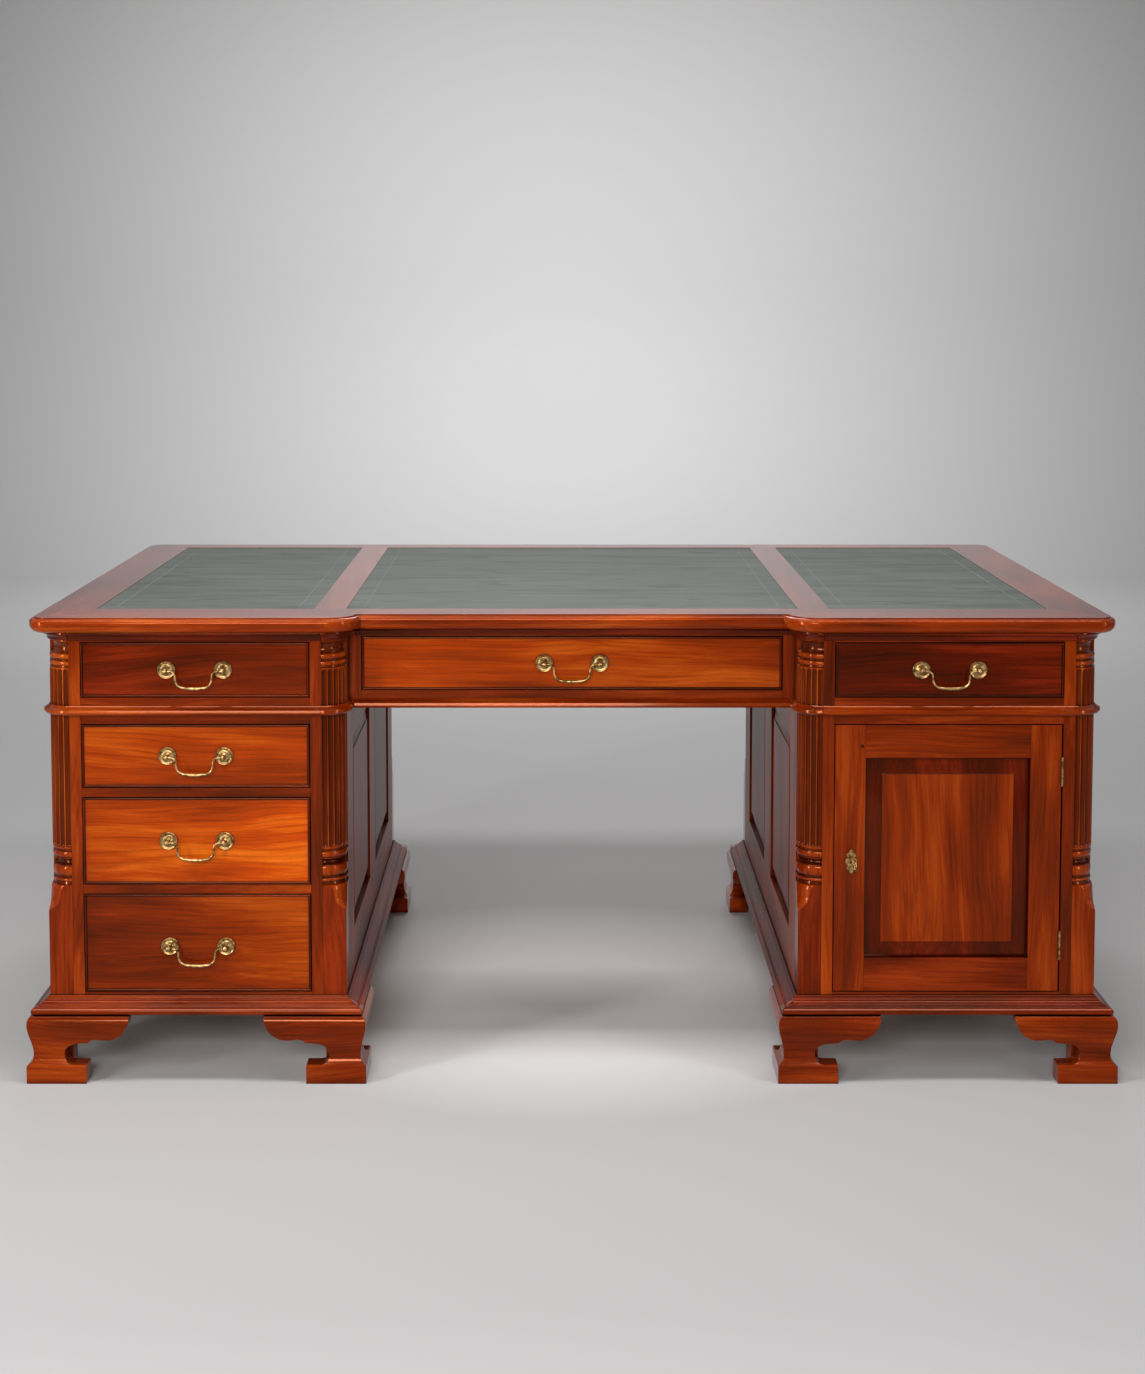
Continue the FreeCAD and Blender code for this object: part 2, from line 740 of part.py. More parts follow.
def foot_bracket():
    """Half of an ogee bracket foot: S-shaped face, scrolled inner edge and a square pad.

    Its own origin is the foot's outer corner: X runs along the face, Y inwards.
    """
    body = new("PartDesign::Body", "foot_bracket")
    rise = "foot_height - pad_height"
    face = [
        ("0", "0"),
        ("0", "pad_height"),
        *shares(OGEE, "bracket_thickness", rise, "pad_height"),
        ("bracket_thickness", "foot_height"),
        ("bracket_thickness", "0"),
    ]
    blank = body.newObject("PartDesign::Pad", "bracket_blank")
    blank.Profile = body_sketch(body, "YZ_Plane", "ogee", face)
    bind(blank, Length="bracket_length")
    doc.recompute()
    scroll = [
        ("bracket_length + 1", "-1"),
        ("pad_length", "-1"),
        ("pad_length", "pad_height"),
        *shares(SCROLL, "bracket_length", rise, "pad_height"),
        ("bracket_length + 1", "foot_height"),
    ]
    fretwork = body.newObject("PartDesign::Pocket", "scroll_cut")
    fretwork.Profile = body_sketch(body, "XZ_Plane", "scroll", scroll)
    fretwork.Type = "ThroughAll"
    fretwork.Midplane = True
    doc.recompute()
    mitre = body.newObject("PartDesign::Pocket", "mitre_cut")
    mitre.Profile = body_sketch(body, "XY_Plane", "mitre",
                                [("0", "0"), ("bracket_thickness", "bracket_thickness"),
                                 ("0", "bracket_thickness")])
    mitre.Type = "ThroughAll"
    mitre.Midplane = True
    doc.recompute()
    return body


def feet():
    bracket = foot_bracket()
    partner = new("Part::Mirroring", "foot_bracket_partner")
    partner.Source = bracket
    partner.Normal = Vector(1, -1, 0)
    inset = ("bracket_thickness", "bracket_thickness + glue_block")
    block = board("corner_block", inset, inset, ("pad_height / 4", "foot_height"))
    foot = group("corner_foot", [bracket, partner, block], "foot_x", "-foot_y")
    corners = four_corners(foot)
    node("bracket_feet", corners + [turned(corners, "left_feet")])


# ---------------------------------------------------------------- pedestals
def raised_panel(name, width, height, thickness):
    """A raised and fielded panel lying in its own XY plane, its field towards +Z."""
    tongue = bind(new("Part::Box", name + "_tongue"), Length=width, Width=height,
                  Height="tongue_thickness")
    bevel = bind(
        new("Part::Wedge", name + "_bevel"),
        Xmin="0", Xmax=width, Zmin="0", Zmax=height, Ymin="0", Ymax="bevel_depth",
        X2min="bevel_width", X2max=f"{width} - bevel_width",
        Z2min="bevel_width", Z2max=f"{height} - bevel_width",
    )
    place(bevel, y=height, z="tongue_thickness", turn=UPRIGHT)
    field = board(name + "_field", ("bevel_width", f"{width} - bevel_width"),
                  ("bevel_width", f"{height} - bevel_width"),
                  ("tongue_thickness + bevel_depth", thickness))
    return fuse(name, [tongue, bevel, field])


def pedestal_sides():
    """Frame members and two raised panels in each side of the right pedestal."""
    x = ("kneehole_x", "inner_x")
    full = ("foot_height", "frieze_base_z")
    first, last = ("-post_y", "-post_y + side_stile"), ("post_y - side_stile", "post_y")
    between = (first[1], last[0])
    members = [
        board("side_front_stile", x, first, full),
        board("side_back_stile", x, last, full),
        board("side_top_rail", x, between, ("side_high_z", "frieze_base_z")),
        board("side_bottom_rail", x, between, ("foot_height", "side_low_z")),
        board("side_muntin", x, ("-side_muntin / 2", "side_muntin / 2"),
              ("side_low_z", "side_high_z")),
    ]
    width = "(post_y - side_stile - side_muntin / 2)"
    height = "(side_high_z - side_low_z)"
    thickness = "(tongue_thickness + bevel_depth + field_step)"
    panel = raised_panel("side_panel", width, height, thickness)
    stand = group("side_panel_back", [panel], f"kneehole_x + panel_sink + {thickness}", last[0],
                  "side_low_z", OUTWARD)
    panels = [stand, mirrored(stand, "y")]
    outer_members = [mirrored(piece, "x", "pedestal_x") for piece in members]
    outer_panels = [mirrored(piece, "x", "pedestal_x") for piece in panels]
    return members + outer_members, panels + outer_panels


DRAWER_RAILS = {"upper": ("middle_top_z", "upper_z"), "middle": ("lower_top_z", "middle_z")}


def pedestal_faces():
    """Stiles and rails of the right pedestal: cupboard opening in front, drawers behind."""
    full = ("foot_height", "frieze_base_z")
    front, back = ("-face_y", "-post_y"), ("post_y", "face_y")
    opening = ("opening_in_x", "opening_out_x")
    pieces = []
    for side, y in (("front", front), ("back", back)):
        pieces += [
            board(f"{side}_outer_stile", ("opening_out_x", "post_out_x"), y, full),
            board(f"{side}_bottom_rail", opening, y, ("foot_height", "floor_z")),
            board(f"{side}_top_rail", opening, y, ("lintel_z", "frieze_base_z")),
        ]
    pieces.append(board("back_inner_stile", ("post_in_x", "opening_in_x"), back, full))
    closing = board("closing_stile", ("post_in_x", "opening_in_x"), front, full)
    half = "(bolt_thickness / 2 + mortise_gap)"
    mortise = board("bolt_mortise", ("opening_in_x - bolt_throw - mortise_gap", "opening_in_x"),
                    (f"-lock_y - {half}", f"-lock_y + {half}"),
                    ("bolt_z - mortise_gap", "bolt_z + bolt_height + mortise_gap"))
    pieces.append(cut("closing_stile_mortised", closing, [mortise]))
    for name, levels in DRAWER_RAILS.items():
        pieces.append(board(f"{name}_drawer_rail", opening, back, levels))
    return pieces


def pedestal_inside():
    """Floor, top board, partition, shelf, and the runners and guides of three drawers."""
    across, deep = ("inner_x", "outer_x"), ("-post_y", "post_y")
    half = "board / 2"
    cupboard, cabinet = ("-post_y", f"-{half}"), (half, "post_y")
    pieces = [
        board("pedestal_floor", across, deep, ("floor_z - rail_height", "floor_z")),
        board("pedestal_lid", across, deep, ("lintel_z", "frieze_base_z")),
        board("pedestal_partition", across, (f"-{half}", half), ("floor_z", "lintel_z")),
        board("cupboard_shelf", across, cupboard, ("lock_z - rail_height", "lock_z")),
    ]
    cleat = board("shelf_cleat", ("inner_x", "inner_x + board"), cupboard,
                  ("lock_z - 2 * rail_height", "lock_z - rail_height"))
    sides = [cleat]
    guide_x = ("inner_x", "opening_in_x - running_gap")
    for name, low in (("lower", "floor_z"), ("middle", "middle_z"), ("upper", "upper_z")):
        sides.append(board(f"{name}_guide", guide_x, cabinet, (low, f"{low} + guide_height")))
    for name, levels in DRAWER_RAILS.items():
        sides.append(board(f"{name}_runner", ("inner_x", "opening_in_x + runner_tongue"), cabinet,
                           levels))
    return pieces + sides + [mirrored(piece, "x", "pedestal_x") for piece in sides]


def pedestals():
    members, panels = pedestal_sides()
    frame = members + pedestal_faces()
    node("pedestal_frames", frame + [turned(frame, "left_frame")])
    node("side_panels", panels + [turned(panels, "left_side_panels")])
    return pedestal_inside()


# ---------------------------------------------------------------- table section
def frieze():
    """Rails, stiles and end boards round the frieze drawers, and what the drawers run on."""
    full = ("frieze_base_z", "frieze_top_z")
    low, high = ("frieze_base_z", "frieze_floor_z"), ("frieze_lintel_z", "frieze_top_z")
    front, back = ("-face_y", "-post_y"), ("post_y", "face_y")
    middle_front = ("-centre_y", "-centre_y + column_radius")
    side_bay, middle_bay = ("opening_in_x", "opening_out_x"), ("-centre_x", "centre_x")
    one_side = [
        board("frieze_end", ("outer_x", "face_x"), ("-post_y", "post_y"), full),
        board("frieze_divider", ("kneehole_x", "inner_x"), ("-post_y", "post_y"), full),
        board("frieze_front_inner_stile", ("post_in_x", "opening_in_x"), front, full),
        board("frieze_front_outer_stile", ("opening_out_x", "post_out_x"), front, full),
        board("frieze_centre_stile", ("centre_x", "kneehole_x"), middle_front, full),
        board("frieze_back_outer_stile", ("opening_out_x", "post_out_x"), back, full),
        board("frieze_back_inner_stile", ("centre_x", "opening_in_x"), back, full),
    ]
    for name, y in (("front", front), ("back", back)):
        one_side.append(board(f"frieze_{name}_rail", side_bay, y, low))
        one_side.append(board(f"frieze_{name}_top_rail", side_bay, y, high))
    centre = []
    for name, y in (("front", middle_front), ("back", back)):
        centre.append(board(f"centre_{name}_rail", middle_bay, y, low))
        centre.append(board(f"centre_{name}_top_rail", middle_bay, y, high))
    node("frieze_frame", one_side + [mirrored(piece, "x") for piece in one_side] + centre)
    return frieze_inside()


def frieze_inside():
    """Dust boards, partitions and guides between the drawers of the two sides."""
    half = "board / 2"
    dust = ("frieze_floor_z - rail_height", "frieze_floor_z")
    above = ("frieze_floor_z", "frieze_top_z")
    strip = ("frieze_floor_z", "frieze_floor_z + guide_height")
    bay = ("inner_x", "outer_x")
    middle = "(frieze_break / 2)"
    centre_deep = ("-centre_y + column_radius", "post_y")
    sides = [
        board("frieze_dust_board", bay, ("-post_y", "post_y"), dust),
        board("frieze_partition", bay, (f"-{half}", half), above),
    ]
    for name, y in (("front", ("-post_y", f"-{half}")), ("back", (half, "post_y"))):
        inner = board(f"frieze_{name}_guide", ("inner_x", "opening_in_x - running_gap"), y, strip)
        sides += [inner, mirrored(inner, "x", "pedestal_x")]
    centre_guide_x = ("centre_x + running_gap", "kneehole_x")
    for name, y in (("front", (centre_deep[0], f"{middle} - {half}")),
                    ("back", (f"{middle} + {half}", centre_deep[1]))):
        sides.append(board(f"centre_{name}_guide", centre_guide_x, y, strip))
    centre = [
        board("centre_dust_board", ("-kneehole_x", "kneehole_x"), centre_deep, dust),
        board("centre_partition", ("-kneehole_x", "kneehole_x"),
              (f"{middle} - {half}", f"{middle} + {half}"), above),
    ]
    return centre + sides + [mirrored(piece, "x") for piece in sides]


# ---------------------------------------------------------------- drawers
# half of a bail from its pin to its grip, as shares of the handle's centres and of the drop
SWAN_NECK = ((0.355, 0), (0.32, -0.4), (0.26, -0.9))
BAIL_FLATS = 6


def bail():
    """A swan-neck bail, hanging: its pins lie on the X axis and its grip below them."""
    half = [("(handle_centres - head_length) / 2 + socket_depth - 2 * socket_gap", "0")]
    half += shares(SWAN_NECK, "handle_centres", "bail_drop")
    left = [(f"-({x})", z) for x, z in half]
    line = left + [("0", "-bail_drop")] + half[::-1]
    path = profile("bail_line", line, closed=False, turn=UPRIGHT)
    section = new("Part::RegularPolygon", "bail_section")
    section.Polygon = BAIL_FLATS
    bind(section, Circumradius="bail_radius")
    place(section, x=left[0][0], turn=ALONG_X)
    sweep = new("Part::Sweep", "bail")
    sweep.Sections = [section]
    sweep.Spine = (path, [f"Edge{number}" for number in range(1, len(line))])
    sweep.Solid = True
    sweep.Transition = "Right corner"
    return sweep


def handle_post():
    """A rose, a stem and a head with the socket that a bail's pin turns in."""
    rose = bar("rose", 10, "rose_radius", "rose_thickness", turn=UPRIGHT)
    stem = bar("stem", 5, "stem_radius", "pivot_reach", turn=UPRIGHT)
    head = journal("head", "head_radius", "head_length", "-head_length / 2", "-pivot_reach", "0",
                   ALONG_X)
    socket = hole("socket", BAIL_FLATS, "bail_radius + socket_gap", "socket_depth + 1",
                  "-head_length / 2 - 1", "-pivot_reach", turn=ALONG_X)
    return cut("handle_post", fuse("post_blank", [rose, stem, head]), [socket])


def drawer(name, x, face, z, length):
    """Front with a cock bead round it, two sides, back and bottom; it opens towards -Y."""
    gap = "drawer_gap"
    left, right = f"{x[0]} + {gap}", f"{x[1]} - {gap}"
    low, high = f"{z[0]} + {gap}", f"{z[1]} - {gap}"
    bead = (f"{face} - bead_rise", f"{face} + front_thickness / 2")
    front = (face, f"{face} + front_thickness")
    behind = front[1]
    back_face = f"{face} + {length}"
    under = f"{z[0]} + running_gap"
    over = f"{z[1]} - drawer_side_drop"
    inside = (f"{left} + drawer_side", f"{right} - drawer_side")
    bed = f"{under} + bottom_rise"
    return [
        board(f"{name}_front", (f"{left} + bead_width", f"{right} - bead_width"), front,
              (f"{low} + bead_width", f"{high} - bead_width")),
        board(f"{name}_top_bead", (left, right), bead, (f"{high} - bead_width", high)),
        board(f"{name}_bottom_bead", (left, right), bead, (low, f"{low} + bead_width")),
        board(f"{name}_left_bead", (left, f"{left} + bead_width"), bead,
              (f"{low} + bead_width", f"{high} - bead_width")),
        board(f"{name}_right_bead", (f"{right} - bead_width", right), bead,
              (f"{low} + bead_width", f"{high} - bead_width")),
        board(f"{name}_left_side", (left, inside[0]), (behind, back_face), (under, over)),
        board(f"{name}_right_side", (inside[1], right), (behind, back_face), (under, over)),
        board(f"{name}_back", inside, (f"{back_face} - drawer_side", back_face),
              (f"{bed} + drawer_bottom", over)),
        board(f"{name}_bottom", inside, (behind, back_face), (bed, f"{bed} + drawer_bottom")),
    ]


def drawers():
    """Six drawers open to the front, and a half turn of each opens to the back."""
    post, grip = handle_post(), bail()
    other_post = mirrored(post, "x")
    left_bay = ("-opening_out_x", "-opening_in_x")
    right_bay = ("opening_in_x", "opening_out_x")
    frieze_z = ("frieze_floor_z", "frieze_lintel_z")
    rows = {
        "left_frieze": (left_bay, "-face_y", frieze_z, "frieze_drawer_length", "right_frieze"),
        "right_frieze": (right_bay, "-face_y", frieze_z, "frieze_drawer_length", "left_frieze"),
        "centre_frieze": (("-centre_x", "centre_x"), "-centre_y", frieze_z,
                          "frieze_drawer_length", "centre_frieze"),
        "upper": (left_bay, "-face_y", ("upper_z", "lintel_z"), "pedestal_drawer_length", "upper"),
        "middle": (left_bay, "-face_y", ("middle_z", "middle_top_z"), "pedestal_drawer_length",
                   "middle"),
        "lower": (left_bay, "-face_y", ("floor_z", "lower_top_z"), "pedestal_drawer_length",
                  "lower"),
    }
    for name, (x, face, z, length, opposite) in rows.items():
        wood = drawer(name, x, face, z, length)
        middle_x, middle_z = f"({x[0]} + ({x[1]})) / 2", f"({z[0]} + {z[1]}) / 2"
        if name == "lower":
            middle_z += " - lower_handle_drop"
        posts = [
            group(f"{name}_right_post", [post], f"{middle_x} + handle_centres / 2", face, middle_z),
            group(f"{name}_left_post", [other_post], f"{middle_x} - handle_centres / 2", face,
                  middle_z),
        ]
        hung = group(f"{name}_hung_bail", [grip], middle_x, f"{face} - pivot_reach", middle_z)
        for suffix, pieces in (("drawer", wood), ("drawer_posts", posts), ("drawer_bail", [hung])):
            node(f"front_{name}_{suffix}", pieces)
            copy = turned(pieces, f"back_{opposite}_{suffix}_copy")
            if name == "centre_frieze":
                # the back is flush, so its middle drawer stands out by the breakfront
                bind(copy, Placement__Base__y="frieze_break")
            node(f"back_{opposite}_{suffix}", [copy])


# ---------------------------------------------------------------- doors
def door_frame():
    """Two stiles and two rails; the closing stile is mortised for the lock and bored for the key."""
    y = ("-face_y", "-face_y + door_thickness")
    full = ("door_low_z", "door_high_z")
    inside = ("door_in_x + door_stile", "door_out_x - door_stile")
    closing = board("door_closing_stile", ("door_in_x", inside[0]), y, full)
    lock = board("lock_mortise", *lock_box())
    bore = hole("key_bore", KEY_FLATS, "key_radius + key_slack", "door_thickness", "lock_x",
                "-face_y + door_thickness / 2", "lock_z", UPRIGHT)
    return [
        cut("door_mortised_stile", closing, [lock, bore]),
        board("door_hanging_stile", (inside[1], "door_out_x"), y, full),
        board("door_bottom_rail", inside, y, ("door_low_z", "door_low_z + door_rail")),
        board("door_top_rail", inside, y, ("door_high_z - door_rail", "door_high_z")),
    ]


def lock_box():
    return (
        ("door_in_x", "door_in_x + lock_width"),
        ("-lock_y - lock_thickness / 2", "-lock_y + lock_thickness / 2"),
        ("lock_z - lock_height / 2", "lock_z + lock_height / 2"),
    )


def bolt_box(gap):
    """The bolt's space in the lock, with a gap all round it."""
    return (
        ("door_in_x + bolt_gap", f"door_in_x + lock_width - bolt_throw + {gap}"),
        (f"-lock_y - bolt_thickness / 2 - {gap}", f"-lock_y + bolt_thickness / 2 + {gap}"),
        (f"bolt_z - {gap}", f"bolt_z + bolt_height + {gap}"),
    )


def lock_case():
    """A brass case with a slot for the bolt and a round chamber for the key's bit."""
    case = board("lock_blank", *lock_box())
    slot_box = bolt_box("bolt_gap")
    slot = board("bolt_slot", ("door_in_x", slot_box[0][1]), slot_box[1], slot_box[2])
    chamber = hole("bit_chamber", 8, "key_bit_reach + 2 * bolt_gap", "lock_thickness * 0.8",
                   "lock_x", "-lock_y + lock_thickness * 0.4", "lock_z", UPRIGHT)
    way = hole("key_way", KEY_FLATS, "key_radius + key_gap", "lock_thickness", "lock_x",
               "-lock_y", "lock_z", UPRIGHT)
    return cut("lock_case", case, [slot, chamber, way])


# right half of a keyhole plate's outline, as shares of half its width and half its height
CARTOUCHE = (
    (0.25, -1), (0.52, -0.78), (0.6, -0.56), (1, -0.16), (1, 0.16), (0.6, 0.56), (0.52, 0.78),
    (0.25, 1),
)
KEY_FLATS = 8


def scutcheon():
    """A cast keyhole plate with a waisted outline."""
    right = shares(CARTOUCHE, "scutcheon_width / 2", "scutcheon_height / 2")
    corners = right + [(f"-({x})", z) for x, z in right[::-1]]
    outline = profile("scutcheon_plate", corners, x="lock_x", y="-face_y",
                      z="lock_z - scutcheon_height * 0.12", turn=UPRIGHT)
    plate = extrusion(outline, "scutcheon_thickness")
    bore = hole("scutcheon_bore", KEY_FLATS, "key_radius + key_slack", "scutcheon_thickness + 2",
                "lock_x", "-face_y + 1", "lock_z", UPRIGHT)
    slot = board("scutcheon_slot", ("lock_x - key_radius * 0.6", "lock_x + key_radius * 0.6"),
                 ("-face_y - scutcheon_thickness - 1", "-face_y + 1"),
                 ("lock_z - key_radius * 3.4", "lock_z"))
    return cut("scutcheon", plate, [bore, slot])


def key():
    """A round stem with a bit inside the lock and a ring bow that hangs in line with it."""
    tip = "-lock_y + lock_thickness * 0.3"
    stem = journal("key_stem", "key_radius",
                   "key_reach + door_thickness / 2 + lock_thickness * 0.3", "lock_x", tip,
                   "lock_z", UPRIGHT)
    bit = board("key_bit", ("lock_x - key_radius * 0.45", "lock_x + key_radius * 0.45"),
                ("-lock_y + bolt_thickness / 2 + 2 * bolt_gap", tip),
                ("lock_z - key_bit_reach", "lock_z"))
    middle = "-face_y - key_reach - bow_radius * 0.7"
    disc = bar("bow_disc", 12, "bow_radius", "bow_thickness", "lock_x - bow_thickness / 2", middle,
               "lock_z", ALONG_X)
    eye = bar("bow_eye", 8, "bow_radius * 0.6", "bow_thickness * 2", "lock_x - bow_thickness",
              middle, "lock_z", ALONG_X)
    return fuse("key", [cut("bow", disc, [eye]), stem, bit])


def hinges(levels):
    """Butt hinges: two knuckles and the pin on the frame's leaf, one knuckle on the door's."""
    fixed, moving = [], []
    for name, low in levels.items():
        third = "hinge_height / 3"
        frame_leaf = board(f"{name}_frame_leaf", ("opening_out_x - leaf_thickness", "opening_out_x"),
                           ("-hinge_y", "-hinge_y + leaf_width"), (low, f"{low} + hinge_height"))
        door_leaf = board(f"{name}_door_leaf", ("door_out_x", "door_out_x + leaf_thickness"),
                          ("-hinge_y", "-hinge_y + leaf_width"), (low, f"{low} + hinge_height"))
        flats, axis = 6, ("hinge_x", "-hinge_y")
        around = "knuckle_radius + running_gap"
        knuckles = [journal(f"{name}_knuckle_{number}", "knuckle_radius", third, *axis,
                            f"{low} + {number} * {third}") for number in (0, 2)]
        pin = bar(f"{name}_pin", flats, "hinge_pin_radius", "hinge_height", *axis, low)
        reach = hole(f"{name}_door_clearance", flats, around, f"{third} + 2 * running_gap", *axis,
                     f"{low} + {third} - running_gap")
        fixed.append(fuse(f"{name}_fixed", [cut(f"{name}_leaf_notched", frame_leaf, [reach]),
                                            pin] + knuckles))
        ends = [hole(f"{name}_frame_clearance_{number}", flats, around, f"{third} + running_gap",
                     *axis, f"{low} + {number} * ({third} - running_gap / 2)")
                for number in (0, 2)]
        barrel = journal(f"{name}_barrel", "knuckle_radius", f"{third} - 2 * running_gap", *axis,
                         f"{low} + {third} + running_gap")
        bore = hole(f"{name}_bore", flats, "hinge_pin_radius + pin_gap", "hinge_height", *axis, low)
        swung = fuse(f"{name}_swinging", [cut(f"{name}_door_leaf_notched", door_leaf, ends), barrel])
        moving.append(cut(f"{name}_moving", swung, [bore]))
    return fixed, moving


def doors():
    levels = {"upper_hinge": "door_high_z - hinge_offset - hinge_height",
              "lower_hinge": "door_low_z + hinge_offset"}
    fixed, moving = hinges(levels)
    width = "(door_out_x - door_in_x - 2 * door_stile)"
    height = "(door_high_z - door_low_z - 2 * door_rail)"
    thickness = "(tongue_thickness + bevel_depth + field_step)"
    panel = raised_panel("door_panel", width, height, thickness)
    stand = group("door_panel_stand", [panel], "door_in_x + door_stile",
                  f"-face_y + panel_sink + {thickness}", "door_low_z + door_rail", UPRIGHT)
    bolt = board("bolt", *bolt_box("0"))
    pieces = {
        "frame": door_frame(),
        "panel": [stand],
        "fittings": [scutcheon(), lock_case()] + moving,
        "key": [key()],
        "bolt": [bolt],
    }
    for suffix, solids in pieces.items():
        node(f"front_door_{suffix}", solids)
        node(f"back_door_{suffix}", [turned(solids, f"back_{suffix}")])
    node("fixed_hinge_leaves", fixed + [turned(fixed, "back_fixed_hinges")])


# ---------------------------------------------------------------- the desk
top()
mouldings()
columns()
feet()
inside = pedestals()
frieze_boards = frieze()
node("carcass_boards", inside + frieze_boards + [turned(inside, "left_inside")])
drawers()
doors()
doc.recompute()

failed = [thing.Name for thing in doc.Objects if {"Invalid", "Error"} & set(thing.State)]
if failed:
    raise SystemExit(f"failed: {failed}")
os.makedirs("parts", exist_ok=True)
for label, thing in nodes.items():
    shape = Part.makeCompound(thing.Shape.Solids)
    if shape.isNull() or not shape.isValid() or not shape.Solids:
        raise SystemExit(f"{label} has no valid solid")
    shape.exportStep(os.path.join("parts", label + ".step"))
print(len(nodes), "nodes,", sum(len(thing.Shape.Solids) for thing in nodes.values()), "solids")
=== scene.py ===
"""A breakfront partners desk in french-polished mahogany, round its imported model.

Laid out as an add-on: sizes and colours are properties, each group of pieces has its own
operator, and a panel in the sidebar lists them. Metres, +Z up, the front faces -Y.
"""

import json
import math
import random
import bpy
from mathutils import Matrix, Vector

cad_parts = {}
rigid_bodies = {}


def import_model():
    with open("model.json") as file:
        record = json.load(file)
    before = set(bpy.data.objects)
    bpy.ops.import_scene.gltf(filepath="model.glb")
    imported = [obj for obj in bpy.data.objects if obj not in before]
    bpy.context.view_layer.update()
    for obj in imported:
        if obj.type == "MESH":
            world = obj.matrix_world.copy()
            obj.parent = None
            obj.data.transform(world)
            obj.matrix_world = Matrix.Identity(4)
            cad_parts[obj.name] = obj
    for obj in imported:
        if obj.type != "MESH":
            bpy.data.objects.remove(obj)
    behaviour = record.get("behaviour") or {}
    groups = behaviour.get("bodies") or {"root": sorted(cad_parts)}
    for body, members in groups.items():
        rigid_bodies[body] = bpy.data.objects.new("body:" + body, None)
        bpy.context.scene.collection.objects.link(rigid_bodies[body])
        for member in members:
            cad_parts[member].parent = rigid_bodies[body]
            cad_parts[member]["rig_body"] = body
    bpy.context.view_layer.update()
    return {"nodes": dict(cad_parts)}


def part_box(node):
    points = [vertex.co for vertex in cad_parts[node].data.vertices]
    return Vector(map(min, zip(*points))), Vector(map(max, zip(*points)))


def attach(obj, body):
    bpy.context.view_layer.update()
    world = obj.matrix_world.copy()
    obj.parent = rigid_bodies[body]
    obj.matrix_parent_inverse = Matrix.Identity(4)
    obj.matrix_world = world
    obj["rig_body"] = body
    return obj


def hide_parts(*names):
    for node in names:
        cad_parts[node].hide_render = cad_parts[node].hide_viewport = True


bl_info = {
    "name": "Partners Desk",
    "version": (1, 0, 0),
    "blender": (4, 5, 0),
    "location": "View3D > Sidebar > Desk",
    "description": "Finishes and fine shapes of a breakfront partners desk",
    "category": "Object",
}

import bmesh
import bpy
from bpy.props import FloatProperty, FloatVectorProperty, IntProperty, PointerProperty
from mathutils import Matrix, Vector

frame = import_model()

MM = 0.001
PEDESTAL_X = 638.5 * MM  # from the desk's middle to a pedestal's
KNEEHOLE = (500 * MM, 480 * MM, 600 * MM)  # half its width and depth, and its height, with room
FLAT = math.radians(0.5)  # triangles that turn less than this are one face
SHARP = math.radians(28)  # edges that turn more than this are eased
COCK_BEAD = 5 * MM  # only a drawer's cock beads are thinner
DRAWER_FRONT = 20 * MM  # what starts deeper behind a drawer's face is its lining
FACE_Y = -530 * MM  # the front door's face
KEY_X, KEY_Z = 475 * MM, 380.5 * MM  # the front key's axis, which runs along Y


def linear(code):
    """A linear colour with alpha from an sRGB hex code."""
    channels = [int(code[place:place + 2], 16) / 255 for place in (1, 3, 5)]
    return tuple(c / 12.92 if c <= 0.04045 else ((c + 0.055) / 1.055) ** 2.4
                 for c in channels) + (1.0,)


# ---- sizes and colours
def length(name, description, size):
    """A length property with a default in millimetres."""
    return FloatProperty(name=name, description=description, default=size * MM, unit="LENGTH")


class DeskSizes(bpy.types.PropertyGroup):
    """Sizes of the softened edges, the turned work and the handles."""

    joint_ease: length("Joint ease", "Softening of edges that meet another board", 0.3)
    edge_ease: length("Edge ease", "Softening of edges that hands touch", 0.9)
    moulding_ease: length("Moulding ease", "Rounding of the mouldings' arrises", 1.8)
    column_radius: length("Column radius", "Radius of the quarter columns", 40)
    flutes: IntProperty(
        name="Flutes", description="Flutes in a quarter of a column", default=6)
    flute_depth: length("Flute depth", "Depth of a flute at its middle", 3.8)
    tooling_inset: length("Tooling inset", "From the leather's edge to its blind-tooled line", 28)
    handle_centres: length("Handle centres", "Between the middles of a handle's posts", 96)


def colour(name, description, code):
    """A colour property with a default from a hex code."""
    return FloatVectorProperty(name=name, description=description, subtype="COLOR", size=4,
                               min=0, max=1, default=linear(code))


